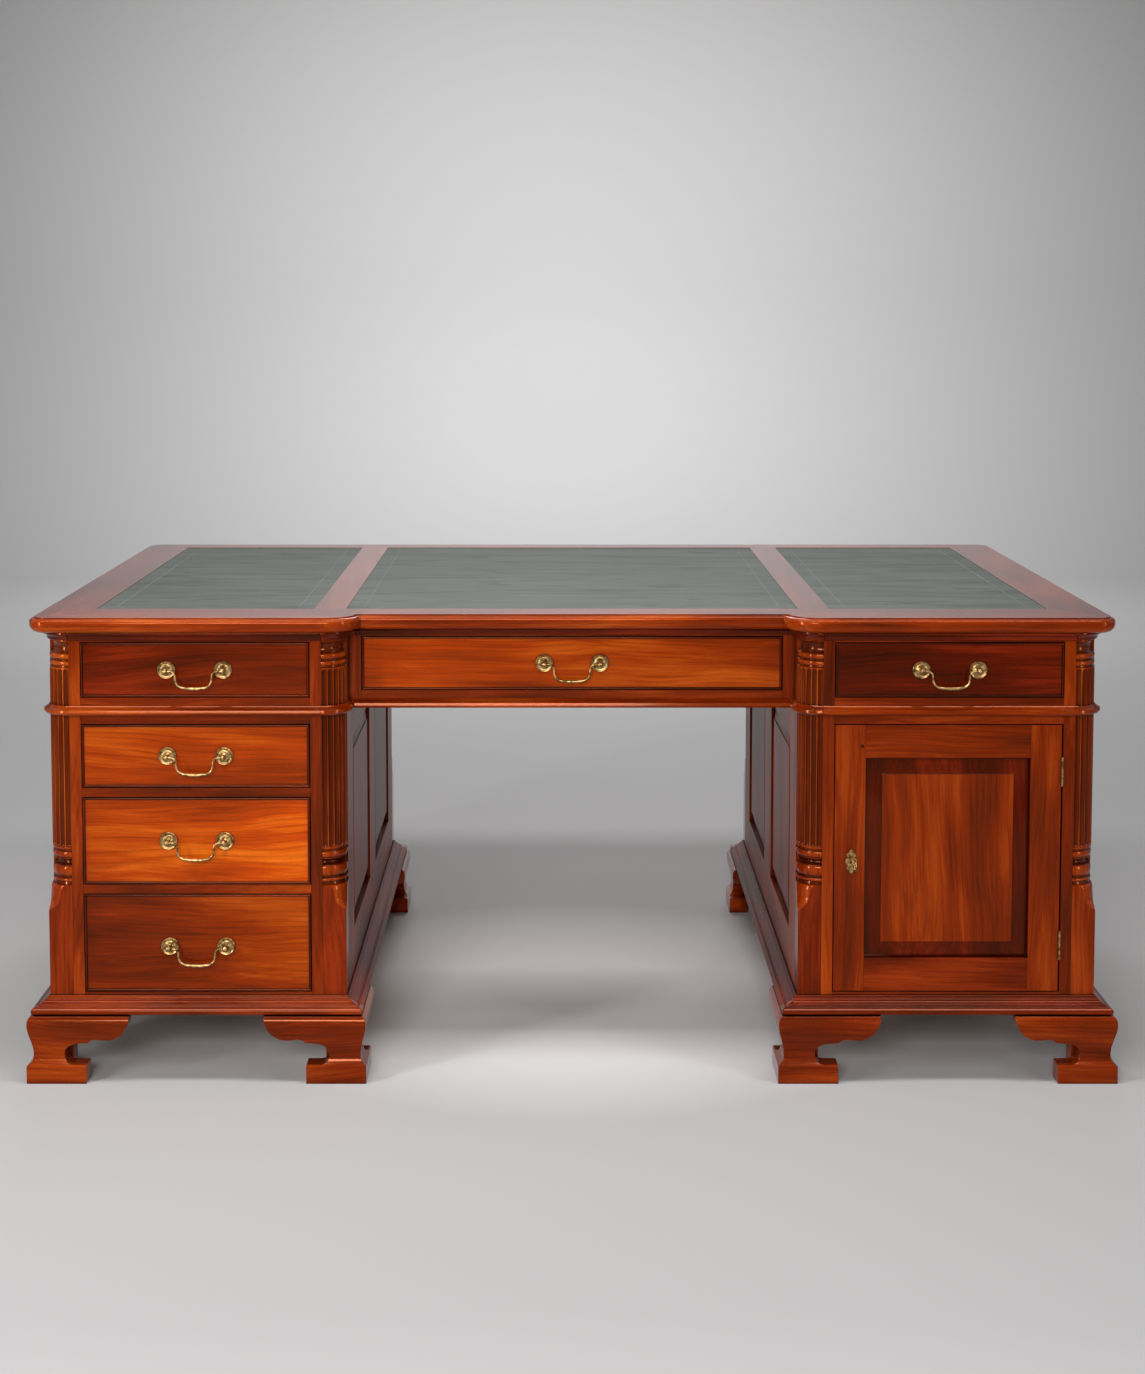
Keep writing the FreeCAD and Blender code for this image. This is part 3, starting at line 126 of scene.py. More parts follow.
class DeskColours(bpy.types.PropertyGroup):
    """Colours of the polished and bare wood, the leather and the metal."""

    red_low: colour("Red wood, dark grain", "Dark grain of the red boards", "#290500")
    red_mid: colour("Red wood", "Body of the red boards", "#520d00")
    red_high: colour("Red wood, light grain", "Light grain of the red boards", "#7e1f06")
    amber_low: colour("Amber wood, dark grain", "Dark grain of the figured boards", "#8c2c01")
    amber_mid: colour("Amber wood", "Body of the figured boards", "#c84802")
    amber_high: colour("Amber wood, light grain", "Light grain of the figured boards", "#ee7814")
    # the colour of real old polish in the pores and on dark boards, and of painted shade in
    # corners, crevices and the columns' hollows
    wax_and_painted_shade: colour("Old wax", "Wax and polish gathered in corners and pores", "#1a0401")
    shellac: colour("Shellac", "Tint of what the stained polish mirrors", "#ff8e50")
    bare_low: colour("Bare wood, dark grain", "Dark grain inside the drawers", "#7a5230")
    bare_high: colour("Bare wood", "Light grain inside the drawers", "#b88a58")
    hide_low: colour("Leather, hollows", "Darkest tone of the leather", "#3e4440")
    hide_high: colour("Leather", "Lightest tone of the leather", "#585e57")
    hide_crease: colour("Leather, creases", "Dye gathered in the creases", "#1c2320")
    tooled: colour("Tooled line", "Faded line tooled round the leather", "#8c9086")
    brass_low: colour("Brass, patina", "Darkened brass in the hollows", "#5e4322")
    brass_high: colour("Brass", "Rubbed brass", "#c8a46c")
    # the paper's pale colours are painted light: a pool in the wall's middle, one before the desk
    # and one under it, against the desk's shadow
    backdrop: colour("Backdrop", "Paper behind the desk, at its palest", "#dad9d9")
    backdrop_edge: colour("Backdrop's edge", "Paper far from the middle of the wall", "#aeadad")
    floor: colour("Floor", "Paper in front of the desk", "#c0bfbf")
    kneehole_painted_light: colour("Kneehole floor", "Paper under the desk", "#eeeded")


# ---- materials
def add(tree, kind, sockets=(), output=0, stops=(), **settings):
    """Adds a shader node and gives one of its outputs.

    sockets holds a value or another node's output for each input, from the first one on, or
    by name or number. stops are the places and colours of a colour ramp.
    """
    node = tree.nodes.new("ShaderNode" + kind)
    for name, setting in settings.items():
        setattr(node, name, setting)
    for socket, source in sockets.items() if isinstance(sockets, dict) else enumerate(sockets):
        if isinstance(source, bpy.types.NodeSocket):
            tree.links.new(source, node.inputs[socket])
        else:
            node.inputs[socket].default_value = source
    if stops:
        elements = node.color_ramp.elements
        while len(elements) < len(stops):
            elements.new(0.5)
        for element, (place, tone) in zip(elements, stops):
            element.position = place
            element.color = tone
    return node.outputs[output] if node.outputs else None


def new_material(name):
    """A material and its empty tree."""
    material = bpy.data.materials.new(name)
    material.use_nodes = True
    material.node_tree.nodes.clear()
    return material, material.node_tree


def surfaced(material, sockets):
    """The material, ended by a surface shader with these sockets."""
    tree = material.node_tree
    add(tree, "OutputMaterial", {"Surface": add(tree, "BsdfPrincipled", sockets)})
    return material


def spots(tree, vector, along, across, detail=3.0, roughness=0.55, output="Fac"):
    """Noise with so many spots a metre along and across the grain."""
    vector = add(tree, "VectorMath", (vector, (along, across, across)), operation="MULTIPLY")
    return add(tree, "TexNoise", {"Vector": vector, "Scale": 1.0, "Detail": detail,
                                  "Roughness": roughness}, output)


def weighed(tree, *patterns):
    """The sum of patterns, each times its share."""
    total = 0.0
    for pattern, share in patterns:
        total = add(tree, "Math", (pattern, share, total), operation="MULTIPLY_ADD")
    return total


def stained(tree, shade, stain, *layers):
    """A shade with a stain laid over it, by a pattern and its strength for each layer."""
    for pattern, strength in layers:
        share = add(tree, "Math", (pattern, strength), operation="MULTIPLY")
        shade = add(tree, "Mix", {0: share, 6: shade, 7: stain}, 2, data_type="RGBA")
    return shade


def wood_figure(tree):
    """Grain of a sawn board: clouds, ribbons of interlocked grain, streaks, rings and pores.

    The grain attribute counts metres along and across each board from its tree's heart.
    """
    grain = add(tree, "Attribute", output="Vector", attribute_name="grain")
    waver = spots(tree, grain, 2.0, 6.0, 2.0, 0.5, "Color")
    sway = add(tree, "VectorMath", (waver, (0.0, 0.06, 0.06), grain), operation="MULTIPLY_ADD")
    flat = add(tree, "VectorMath", (sway, (0.0, 1.0, 1.0)), operation="MULTIPLY")
    rings = add(tree, "VectorMath", (flat,), "Value", operation="LENGTH")
    # late wood is a thin dark line at each growth ring, 8 mm apart
    for operation, number in (("MULTIPLY", 2 * math.pi / (8 * MM)), ("SINE", 0.0),
                              ("MULTIPLY", 0.5), ("ADD", 0.5), ("POWER", 5.0)):
        rings = add(tree, "Math", (rings, number), operation=operation)
    # clouds a hand wide, ribbons about 20 mm wide and streaks about 3 mm wide
    clouds = spots(tree, sway, 3.0, 11.0, 1.0)
    ribbons = spots(tree, sway, 4.0, 48.0, 2.0)
    streaks = spots(tree, sway, 9.0, 300.0, 3.0, 0.6)
    # pores are about 0.3 mm across and 5 mm long
    pores = spots(tree, grain, 190.0, 2300.0, 1.0)
    pores = add(tree, "Math", (pores, 0.66), operation="GREATER_THAN")
    mixed = weighed(tree, (clouds, 0.48), (ribbons, 0.3), (streaks, 0.22))
    return mixed, ribbons, rings, pores


def polished_mahogany(colours, name="french_polished_mahogany", roughness=0.14, coat=0.1,
                      mirror=0.5):
    """French-polished mahogany: thin shellac rubbed to a deep gloss over open red grain.

    Boards run from red to amber; painted shade darkens their corners and crevices.
    """
    material, tree = new_material(name)
    mixed, ribbons, rings, pores = wood_figure(tree)
    red = add(tree, "ValToRGB", (mixed,), stops=(
        (0.36, colours.red_low), (0.5, colours.red_mid), (0.64, colours.red_high)))
    amber = add(tree, "ValToRGB", (mixed,), stops=(
        (0.36, colours.amber_low), (0.5, colours.amber_mid), (0.64, colours.amber_high)))
    tone = add(tree, "Attribute", output="Fac", attribute_name="tone")
    # painted shade in the columns' flutes and necks, laid on by the column step
    wax = add(tree, "Attribute", output="Fac", attribute_name="wax")
    # painted shade: an occlusion test within 9 mm darkens corners and crevices
    reach = add(tree, "AmbientOcclusion", {"Distance": 9 * MM}, "AO", samples=6)
    corners = add(tree, "Math", (0.92, reach), operation="SUBTRACT")
    corners = add(tree, "Math", (corners, 2.2), operation="MULTIPLY", use_clamp=True)
    shade = stained(tree, red, amber, (tone, 1.0))
    shade = stained(tree, shade, colours.wax_and_painted_shade, (tone, -1.0), (rings, 0.2), (pores, 0.3),
                    (corners, 0.9), (wax, 0.75))
    relief = weighed(tree, (ribbons, 0.6), (pores, -0.25))
    bump = add(tree, "Bump", {"Height": relief, "Strength": 0.12, "Distance": 0.4 * MM})
    # stained shellac warms what it mirrors; the last rubbed coat over it is clear
    return surfaced(material, {
        "Base Color": shade, "Normal": bump, "Roughness": roughness, "Specular IOR Level": mirror,
        "Specular Tint": colours.shellac, "Coat Weight": coat, "Coat Roughness": 0.06})


def dull_mahogany(colours):
    """Mahogany of the kneehole and pedestal sides: the same stain, waxed but never rubbed up."""
    return polished_mahogany(colours, "waxed_mahogany", 0.34, 0.0, 0.2)


def bare_wood(colours):
    """Planed drawer linings and boards left without polish: pale, dry and open-grained."""
    material, tree = new_material("planed_bare_wood")
    mixed, _, rings, pores = wood_figure(tree)
    shade = add(tree, "ValToRGB", (mixed,),
                stops=((0.35, colours.bare_low), (0.65, colours.bare_high)))
    shade = stained(tree, shade, colours.bare_low, (rings, 0.2), (pores, 0.25))
    return surfaced(material, {"Base Color": shade, "Roughness": 0.75})


def waxed_leather(colours):
    """Aniline-dyed hide, waxed: fine pebble, growth creases across it and a mottled green dye."""
    material, tree = new_material("waxed_hide")
    place = add(tree, "TexCoord", output="Object")
    mottle = spots(tree, place, 7.0, 22.0, 5.0, 0.6)
    shade = add(tree, "ValToRGB", (mottle,),
                stops=((0.3, colours.hide_low), (0.7, colours.hide_high)))
    # creases run along the desk, a hand apart, and are darker
    crease = spots(tree, place, 2.0, 16.0, 4.0, 0.5)
    crease = add(tree, "Math", (crease, 0.5), operation="SUBTRACT")
    crease = add(tree, "Math", (crease,), operation="ABSOLUTE")
    crease = add(tree, "Math", (crease, -34.0, 1.0), operation="MULTIPLY_ADD", use_clamp=True)
    broken = add(tree, "Math", (crease, spots(tree, place, 6.0, 9.0, 2.0)), operation="MULTIPLY")
    line = add(tree, "Attribute", output="Fac", attribute_name="tooling")
    shade = stained(tree, shade, colours.hide_crease, (broken, 1.0))
    shade = stained(tree, shade, colours.tooled, (line, 0.4))
    # pebbles of about 1.2 mm
    pebble = add(tree, "TexVoronoi", {"Vector": place, "Scale": 850.0}, "Distance", feature="F1")
    relief = weighed(tree, (pebble, 0.3), (broken, -1.0), (mottle, 0.5))
    bump = add(tree, "Bump", {"Height": relief, "Strength": 0.3, "Distance": 0.6 * MM})
    rough = add(tree, "Math", (mottle, 0.2, 0.46), operation="MULTIPLY_ADD")
    return surfaced(material, {"Base Color": shade, "Normal": bump, "Roughness": rough,
                               "Specular IOR Level": 0.2})


def aged_brass(colours):
    """Cast brass, lacquer gone: rubbed bright in some places and brown in others, in small clouds.
    """
    material, tree = new_material("aged_cast_brass")
    place = add(tree, "TexCoord", output="Object")
    cloud = spots(tree, place, 160.0, 160.0, 3.0)
    shade = add(tree, "ValToRGB", (cloud,),
                stops=((0.34, colours.brass_low), (0.62, colours.brass_high)))
    rough = add(tree, "Math", (cloud, -0.2, 0.42), operation="MULTIPLY_ADD")
    return surfaced(material, {"Base Color": shade, "Metallic": 1.0, "Roughness": rough})


def seamless_paper(colours):
    """Matt backdrop paper, with pools of painted light on the wall, before the desk and under it.
    """
    material, tree = new_material("matt_backdrop_paper")
    place = add(tree, "TexCoord", output="Object")
    # distances in height count for more, so that the wall's pool of painted light is wider than
    # high
    wide = add(tree, "VectorMath", (place, (1.0, 1.0, 1.6)), operation="MULTIPLY")
    shade = colours.backdrop_edge
    # each pool of painted light: its middle, how far it is even and how far it reaches, in metres
    for middle, even, outer, tone in (((0.0, 7.5, 1.1), 0.588, 4.706, colours.backdrop),
                                      ((-0.3, -1.7, 0.0), 0.8, 3.0, colours.floor),
                                      ((0.0, -0.1, 0.0), 0.24, 0.64, colours.kneehole_painted_light)):
        reach = add(tree, "VectorMath", (wide, middle), "Value", operation="DISTANCE")
        painted_light = add(tree, "MapRange", (reach, even, outer, 1.0, 0.0))
        shade = stained(tree, shade, tone, (painted_light, 1.0))
    return surfaced(material, {"Base Color": shade, "Roughness": 0.9, "Specular IOR Level": 0.2})


MAKERS = {"polish": polished_mahogany, "dull": dull_mahogany, "bare": bare_wood,
          "leather": waxed_leather, "brass": aged_brass, "paper": seamless_paper}
made = {}


def finish(name):
    """The material for a finish, made on its first use."""
    if name not in made:
        made[name] = MAKERS[name](bpy.context.scene.desk_colours)
    return made[name]


# ---- ways to make a piece
def select_only(*pieces):
    bpy.ops.object.select_all(action="DESELECT")
    for piece in pieces:
        piece.select_set(True)
        bpy.context.view_layer.objects.active = pieces[0]


def placed(name, data):
    """A mesh or curve as an object in the scene."""
    piece = bpy.data.objects.new(name, data)
    bpy.context.scene.collection.objects.link(piece)
    return piece


def apply_modifier(piece, kind, **settings):
    """Adds a modifier, sets it and applies it."""
    modifier = piece.modifiers.new(kind.title(), kind)
    for name, setting in settings.items():
        setattr(modifier, name, setting)
    select_only(piece)
    bpy.ops.object.modifier_apply(modifier=modifier.name)


def solid_runs(mesh):
    """Where each closed solid of a model's mesh starts and stops among its triangles."""
    runs, loose, start = [], set(), 0
    keys = [tuple(round(value * 1e5) for value in vertex.co) for vertex in mesh.vertices]
    for index, face in enumerate(mesh.polygons):
        corners = [keys[vertex] for vertex in face.vertices]
        for first, second in zip(corners, corners[1:] + corners[:1]):
            if (second, first) in loose:
                loose.discard((second, first))
            else:
                loose.add((first, second))
        if not loose:
            runs.append((start, index + 1))
            start = index + 1
    return runs


def islands(mesh):
    """Lists of the vertices that hang together."""
    parent = list(range(len(mesh.vertices)))

    def root(index):
        while parent[index] != index:
            parent[index] = parent[parent[index]]
            index = parent[index]
        return index

    for edge in mesh.edges:
        first, second = (root(vertex) for vertex in edge.vertices)
        parent[first] = second
    groups = {}
    for index in range(len(parent)):
        groups.setdefault(root(index), []).append(index)
    return list(groups.values())


def box_of(points):
    low = Vector([min(point[axis] for point in points) for axis in range(3)])
    high = Vector([max(point[axis] for point in points) for axis in range(3)])
    return low, high


def lay_grain(piece, tone, spread=0.06, lean=0.0, stain=0.25):
    """Gives each board its own piece of tree: grain along its length, and a tone.

    tone is a number, or a function of a board's lowest and highest corner. It rises by lean
    from one end of a board to the other, and falls by stain on faces cut aslant, which drink
    more of it. Below nothing, a tone is as dark as old wax.
    """
    mesh = piece.data
    mesh.attributes.new("grain", "FLOAT_VECTOR", "POINT")
    mesh.attributes.new("tone", "FLOAT", "CORNER")
    grain, tones = mesh.attributes["grain"], mesh.attributes["tone"]
    chance = random.Random(piece.name)
    shades = [0.0] * len(mesh.vertices)
    for group in islands(mesh):
        low, high = box_of([mesh.vertices[index].co for index in group])
        order = sorted(range(3), key=lambda axis: low[axis] - high[axis])
        heart = (chance.uniform(0, 9), chance.uniform(0.03, 0.16), chance.uniform(0.01, 0.09))
        slope = chance.uniform(-0.06, 0.06)
        shade = tone(low, high) if callable(tone) else tone
        shade += chance.uniform(-spread, spread)
        length = high[order[0]] - low[order[0]]
        for index in group:
            place = [mesh.vertices[index].co[axis] - (low[axis] + high[axis]) / 2
                     for axis in order]
            grain.data[index].vector = (place[0] + heart[0],
                                        place[1] + heart[1] + place[0] * slope,
                                        place[2] + heart[2])
            shades[index] = shade + lean * place[0] / length
    for face in mesh.polygons:
        aslant = stain * (max(abs(part) for part in face.normal) < 0.998)
        for loop in face.loop_indices:
            shade = shades[mesh.loops[loop].vertex_index] - aslant
            tones.data[loop].value = min(max(shade, -1), 1)


def softened(node, ease, segments=2, finish_of=None):
    """A copy of a model's node: each solid welded by itself, in whole faces, its edges eased.

    ease is a width, or a function that gives a solid's width from its corners.
    """
    source = frame["nodes"][node]
    mesh = source.data.copy()
    mesh.materials.clear()
    piece = placed(node + "_finished", mesh)
    runs = solid_runs(mesh)
    work = bmesh.new()
    work.from_mesh(mesh)
    work.faces.ensure_lookup_table()
    # a dictionary keeps the order of the vertices, so that each run gives the same mesh
    solids = [list(dict.fromkeys(vertex for face in work.faces[start:stop]
                                 for vertex in face.verts)) for start, stop in runs]
    faces = [work.faces[start:stop] for start, stop in runs]
    corners = [box_of([vertex.co for vertex in solid]) for solid in solids]
    for group, (low, high) in zip(faces, corners):
        for face in group:
            face.material_index = finish_of(low, high) if finish_of else 0
    widths = [ease(low, high) if callable(ease) else ease for low, high in corners]
    widest = max(widths)
    weights = work.edges.layers.float.new("bevel_weight_edge")
    for solid, width in zip(solids, widths):
        edges = {edge for vertex in solid for edge in vertex.link_edges}
        for edge in edges:
            edge[weights] = width / widest
    for solid in solids:
        bmesh.ops.remove_doubles(work, verts=solid, dist=1e-6)
    bmesh.ops.dissolve_limit(work, angle_limit=FLAT, verts=work.verts[:], edges=work.edges[:])
    for edge in work.edges:
        if len(edge.link_faces) != 2 or edge.calc_face_angle(0) < SHARP:
            edge[weights] = 0
    work.to_mesh(mesh)
    work.free()
    apply_modifier(piece, "BEVEL", width=widest, segments=segments, limit_method="WEIGHT",
                   use_clamp_overlap=True)
    smooth(piece)
    return piece


def smooth(piece, angle=50):
    """Smooth shading that keeps broad faces flat."""
    select_only(piece)
    bpy.ops.object.shade_smooth_by_angle(angle=math.radians(angle))
    apply_modifier(piece, "WEIGHTED_NORMAL", keep_sharp=True, mode="FACE_AREA")


def stand_for(piece, node, slot, *finishes):
    """Puts a finished piece in a node's place, on its body."""
    for name in finishes:
        piece.data.materials.append(finish(name))
    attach(piece, frame["nodes"][node]["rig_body"])
    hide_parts(node)
    return piece


def wooden(node, ease, tone, segments=2, spread=0.06, slot="mahogany", finishes=("polish",),
           finish_of=None, lean=0.0, stain=0.25):
    piece = softened(node, ease, segments, finish_of=finish_of)
    lay_grain(piece, tone, spread, lean, stain)
    return stand_for(piece, node, slot, *finishes)


def in_kneehole(low, high):
    """1 for a board on a pedestal's inner side, where nobody polishes; otherwise 0."""
    middle = (low + high) / 2
    width, depth, height = KNEEHOLE
    return int(abs(middle.x) < width and abs(middle.y) < depth and low.z < height)


def block(name, low, high):
    """A block between two corners."""
    select_only()
    bpy.ops.mesh.primitive_cube_add(size=1, location=(Vector(low) + Vector(high)) / 2)
    piece = bpy.context.object
    piece.name = name
    piece.scale = Vector(high) - Vector(low)
    bpy.ops.object.transform_apply(location=True, rotation=False, scale=True)
    return piece


def leave_edit():
    """Turns all faces outwards and leaves edit mode."""
    bpy.ops.mesh.select_all(action="SELECT")
    bpy.ops.mesh.normals_make_consistent(inside=False)
    bpy.ops.object.mode_set(mode="OBJECT")


def turned(name, outline, sides):
    """A turned piece standing on Z, from its radius and height in millimetres, end to end."""
    select_only()
    radius, level = outline[0]
    bpy.ops.mesh.primitive_circle_add(vertices=sides, radius=radius * MM)
    piece = bpy.context.object
    piece.name = name
    bpy.ops.object.mode_set(mode="EDIT")
    bpy.ops.mesh.select_all(action="SELECT")
    bpy.ops.transform.translate(value=(0, 0, level * MM))
    for wider, higher in outline[1:]:
        bpy.ops.mesh.extrude_edges_move(
            TRANSFORM_OT_translate={"value": (0, 0, (higher - level) * MM)})
        bpy.ops.transform.resize(value=(wider / radius, wider / radius, 1),
                                 center_override=(0, 0, higher * MM))
        radius, level = wider, higher
    bpy.ops.mesh.select_all(action="SELECT")
    bpy.ops.mesh.fill_holes(sides=0)
    leave_edit()
    return piece


def swelling(low, high, neck, crown, steps=6):
    """Points of a bead, or of a hollow, between two heights of a turned outline."""
    turns = [math.pi * step / steps for step in range(steps + 1)]
    return [(neck + (crown - neck) * math.sin(turn),
             low + (high - low) * (1 - math.cos(turn)) / 2) for turn in turns]


def drawn_curve(name, points, flat=True):
    """A smooth curve through points, in millimetres; the fourth number marks a sharp corner."""
    curve = bpy.data.curves.new(name, "CURVE")
    curve.dimensions = "2D" if flat else "3D"
    curve.resolution_u = 5
    spline = curve.splines.new("BEZIER")
    spline.bezier_points.add(len(points) - 1)
    for knot, (x, y, z, sharp) in zip(spline.bezier_points, points):
        knot.co = (x * MM, y * MM, z * MM)
    for knot, point in zip(spline.bezier_points, points):
        knot.handle_left_type = knot.handle_right_type = "VECTOR" if point[3] else "AUTO"
    return placed(name, curve)


def made_mesh(piece):
    """Makes a curve a mesh, with its seams closed and its faces outwards."""
    select_only(piece)
    bpy.ops.object.convert(target="MESH")
    piece = bpy.context.object
    bpy.ops.object.mode_set(mode="EDIT")
    bpy.ops.mesh.select_all(action="SELECT")
    bpy.ops.mesh.remove_doubles(threshold=1e-6)
    leave_edit()
    return piece


def sawn(name, outline, thickness):
    """A board sawn to an outline in its XY plane, its thickness centred on that plane."""
    piece = drawn_curve(name, [(x, y, 0, sharp) for x, y, sharp in outline])
    piece.data.splines[0].use_cyclic_u = True
    piece.data.fill_mode = "BOTH"
    piece.data.extrude = thickness / 2 * MM
    return made_mesh(piece)


def combine(piece, tool, operation):
    """Cuts a piece with another, or keeps what both share."""
    apply_modifier(piece, "BOOLEAN", object=tool, operation=operation, solver="EXACT")
    bpy.data.objects.remove(tool)


def moved_copy(piece, matrix):
    """A copy with its own mesh, set elsewhere."""
    mesh = piece.data.copy()
    mesh.transform(matrix)
    return placed(piece.name, mesh)


def joined(name, pieces):
    select_only(*pieces)
    bpy.ops.object.join()
    pieces[0].name = name
    return pieces[0]


def corner_turn(low, high):
    """A place and a turn for a shape made for the right front corner of a pedestal.

    low and high are the corners of the solid that it stands for.
    """
    x = low.x if (low.x + high.x) / 2 > math.copysign(PEDESTAL_X, low.x) else high.x
    y = high.y if low.y < 0 else low.y
    quarter = {(True, True): 0, (True, False): 1, (False, False): 2, (False, True): 3}[
        (x == low.x, y == high.y)]
    return Matrix.Translation((x, y, 0)) @ Matrix.Rotation(math.pi / 2 * quarter, 4, "Z")


def solid_boxes(node):
    """The corners of each solid of a model's node."""
    mesh = frame["nodes"][node].data
    return [box_of([mesh.vertices[vertex].co for face in mesh.polygons[start:stop]
                    for vertex in face.vertices]) for start, stop in solid_runs(mesh)]


# ---- operators
class DeskStep(bpy.types.Operator):
    """One group of the desk's pieces."""

    bl_options = {"REGISTER", "UNDO"}

    def execute(self, context):
        self.make(context.scene.desk_sizes)
        return {"FINISHED"}


class DESK_OT_top(DeskStep):
    """Border boards of the top, with their thumb-moulded edge"""

    bl_idname = "desk.top"
    bl_label = "Top"

    def make(self, sizes):
        wooden("top_frame", sizes.joint_ease, 0.16, stain=-0.12)


class DESK_OT_leather(DeskStep):
    """Three hides let into the top, each with a blind-tooled line"""

    bl_idname = "desk.leather"
    bl_label = "Leather"

    def make(self, sizes):
        hides = [self.hide(sizes, low, high) for low, high in solid_boxes("leather_panels")]
        piece = joined("leather_panels_finished", hides)
        stand_for(piece, "leather_panels", "leather", "leather")
        wooden("leather_grounds", sizes.joint_ease, 0.5, slot="secondary_wood",
               finishes=("bare",))

    def hide(self, sizes, low, high):
        """A hide with a fine line pressed into it all round."""
        edge, step = 0.4 * MM, 0.6 * MM
        piece = block("hide", low, high)
        apply_modifier(piece, "BEVEL", width=edge, segments=2)
        mesh = piece.data
        for face in mesh.polygons:
            face.select = face.normal.z > 0.99
        select_only(piece)
        bpy.ops.object.mode_set(mode="EDIT")
        bpy.ops.mesh.select_mode(type="FACE")
        for thickness in (sizes.tooling_inset, step, step, step):
            bpy.ops.mesh.inset(thickness=thickness)
        bpy.ops.object.mode_set(mode="OBJECT")
        # the two rings of points round the line's middle go down and take its colour
        mesh.attributes.new("tooling", "FLOAT", "POINT")
        tooling = mesh.attributes["tooling"]
        for vertex in mesh.vertices:
            inwards = min(vertex.co.x - low.x, high.x - vertex.co.x,
                          vertex.co.y - low.y, high.y - vertex.co.y)
            depth = inwards - edge - sizes.tooling_inset
            if 0.5 * step < depth < 2.5 * step:
                vertex.co.z -= 0.25 * MM
                tooling.data[vertex.index].value = 1
        return piece


class DESK_OT_mouldings(DeskStep):
    """Cornice, waist and plinth mouldings"""

    bl_idname = "desk.mouldings"
    bl_label = "Mouldings"

    def make(self, sizes):
        for node, tone in (("cornice_moulding", 0.1), ("waist_moulding", 0.3),
                           ("plinth_mouldings", 0.15)):
            wooden(node, sizes.moulding_ease, tone, segments=3, stain=0.1,
                   finishes=("polish", "dull"), finish_of=in_kneehole)


class DESK_OT_columns(DeskStep):
    """Fluted quarter columns with their turned collars and capitals"""

    bl_idname = "desk.columns"
    bl_label = "Columns"

    def make(self, sizes):
        edge = sizes.column_radius / MM
        # heights from the floor: a square post, a lamb's tongue and a collar of turned rings
        lower = [
            (58.0, 115.0), (58.4, 288.5), (56.8, 290.5), (53.2, 293.5), (50.0, 297.5),
            (47.2, 302.5), (45.6, 308.5), (44.8, 316.5), (44.2, 324.5), (43.4, 329.5),
            (41.8, 332.8), (37.4, 334.8), (36.6, 339.0), *swelling(339.5, 345.5, 37.4, edge - 0.1),
            (36.4, 346.0), (36.4, 348.6), *swelling(349.2, 367.4, 37.0, edge - 0.1, 8),
            *swelling(368.0, 378.6, 37.4, 30.4, 8), (38.2, 379.0), (38.2, 380.6),
            *swelling(381.0, 392.6, 37.0, edge - 0.1), (37.6, 393.2), (37.8, 395.8),
            (edge, 396.8), (edge, 628.0),
        ]
        upper = [
            (edge, 628.0), (edge, 707.6), (37.6, 708.4), (37.6, 710.4),
            *swelling(711.0, 719.4, 37.4, edge - 0.1), (36.8, 720.0), (36.8, 722.0),
            *swelling(722.6, 732.0, 37.0, edge - 0.1), (35.4, 732.6), (33.2, 736.0),
            (31.8, 740.5), (32.4, 745.5), (34.6, 749.6), (38.0, 752.4), (edge - 0.1, 753.4),
            (edge, 770.0),
        ]
        for node, outline, ends in (("pedestal_columns", lower, (398.6, 660)),
                                    ("frieze_columns", upper, (600, 706.0))):
            self.column(sizes, node, outline, ends)

    def column(self, sizes, node, outline, ends):
        """A quarter of a turned and fluted column, copied to its corners."""
        quarter = turned(node + "_finished", outline, 96)
        edge = sizes.column_radius
        combine(quarter, block("corner", (0, -edge, outline[0][1] * MM),
                               (edge, 0, outline[-1][1] * MM)), "INTERSECT")
        combine(quarter, self.flutes(sizes, ends), "DIFFERENCE")
        smooth(quarter, 38)
        # painted shade in the flutes and necks, darker the deeper they are sunk
        quarter.data.attributes.new("wax", "FLOAT", "POINT")
        wax = quarter.data.attributes["wax"]
        for vertex in quarter.data.vertices:
            sunk = (edge - vertex.co.xy.length) / sizes.flute_depth
            wax.data[vertex.index].value = min(max(sunk, 0), 1) * (vertex.co.xy.length > edge / 2)
        copies = [moved_copy(quarter, corner_turn(low, high)) for low, high in solid_boxes(node)]
        bpy.data.objects.remove(quarter)
        piece = joined(node + "_finished", copies)
        # turned faces are given a paler tone than the flat ones
        lay_grain(piece, 0.08, stain=-0.2)
        stand_for(piece, node, "mahogany", "polish")

    def flutes(self, sizes, ends):
        """Round-ended cutters that hollow the shaft between two heights."""
        edge, deep = sizes.column_radius / MM, sizes.flute_depth / MM
        chord = 0.84 * edge * math.pi / 2 / sizes.flutes
        radius = chord * chord / 8 / deep + deep / 2
        low, high = ends[0] + radius, ends[1] - radius
        turns = [math.pi / 2 * step / 5 for step in range(1, 6)]
        outline = [(radius * math.sin(turn), low - radius * math.cos(turn)) for turn in turns]
        outline += [(radius * math.cos(turn), high + radius * math.sin(turn))
                    for turn in [0.001] + turns[:-1]]
        tool = turned("flute_cutter", outline, 24)
        tools = []
        for number in range(sizes.flutes):
            turn = math.pi / 2 * (number + 0.5) / sizes.flutes
            reach = (edge - deep + radius) * MM
            tools.append(moved_copy(tool, Matrix.Translation(
                (reach * math.cos(turn), -reach * math.sin(turn), 0))))
        bpy.data.objects.remove(tool)
        return joined("flute_cutters", tools)


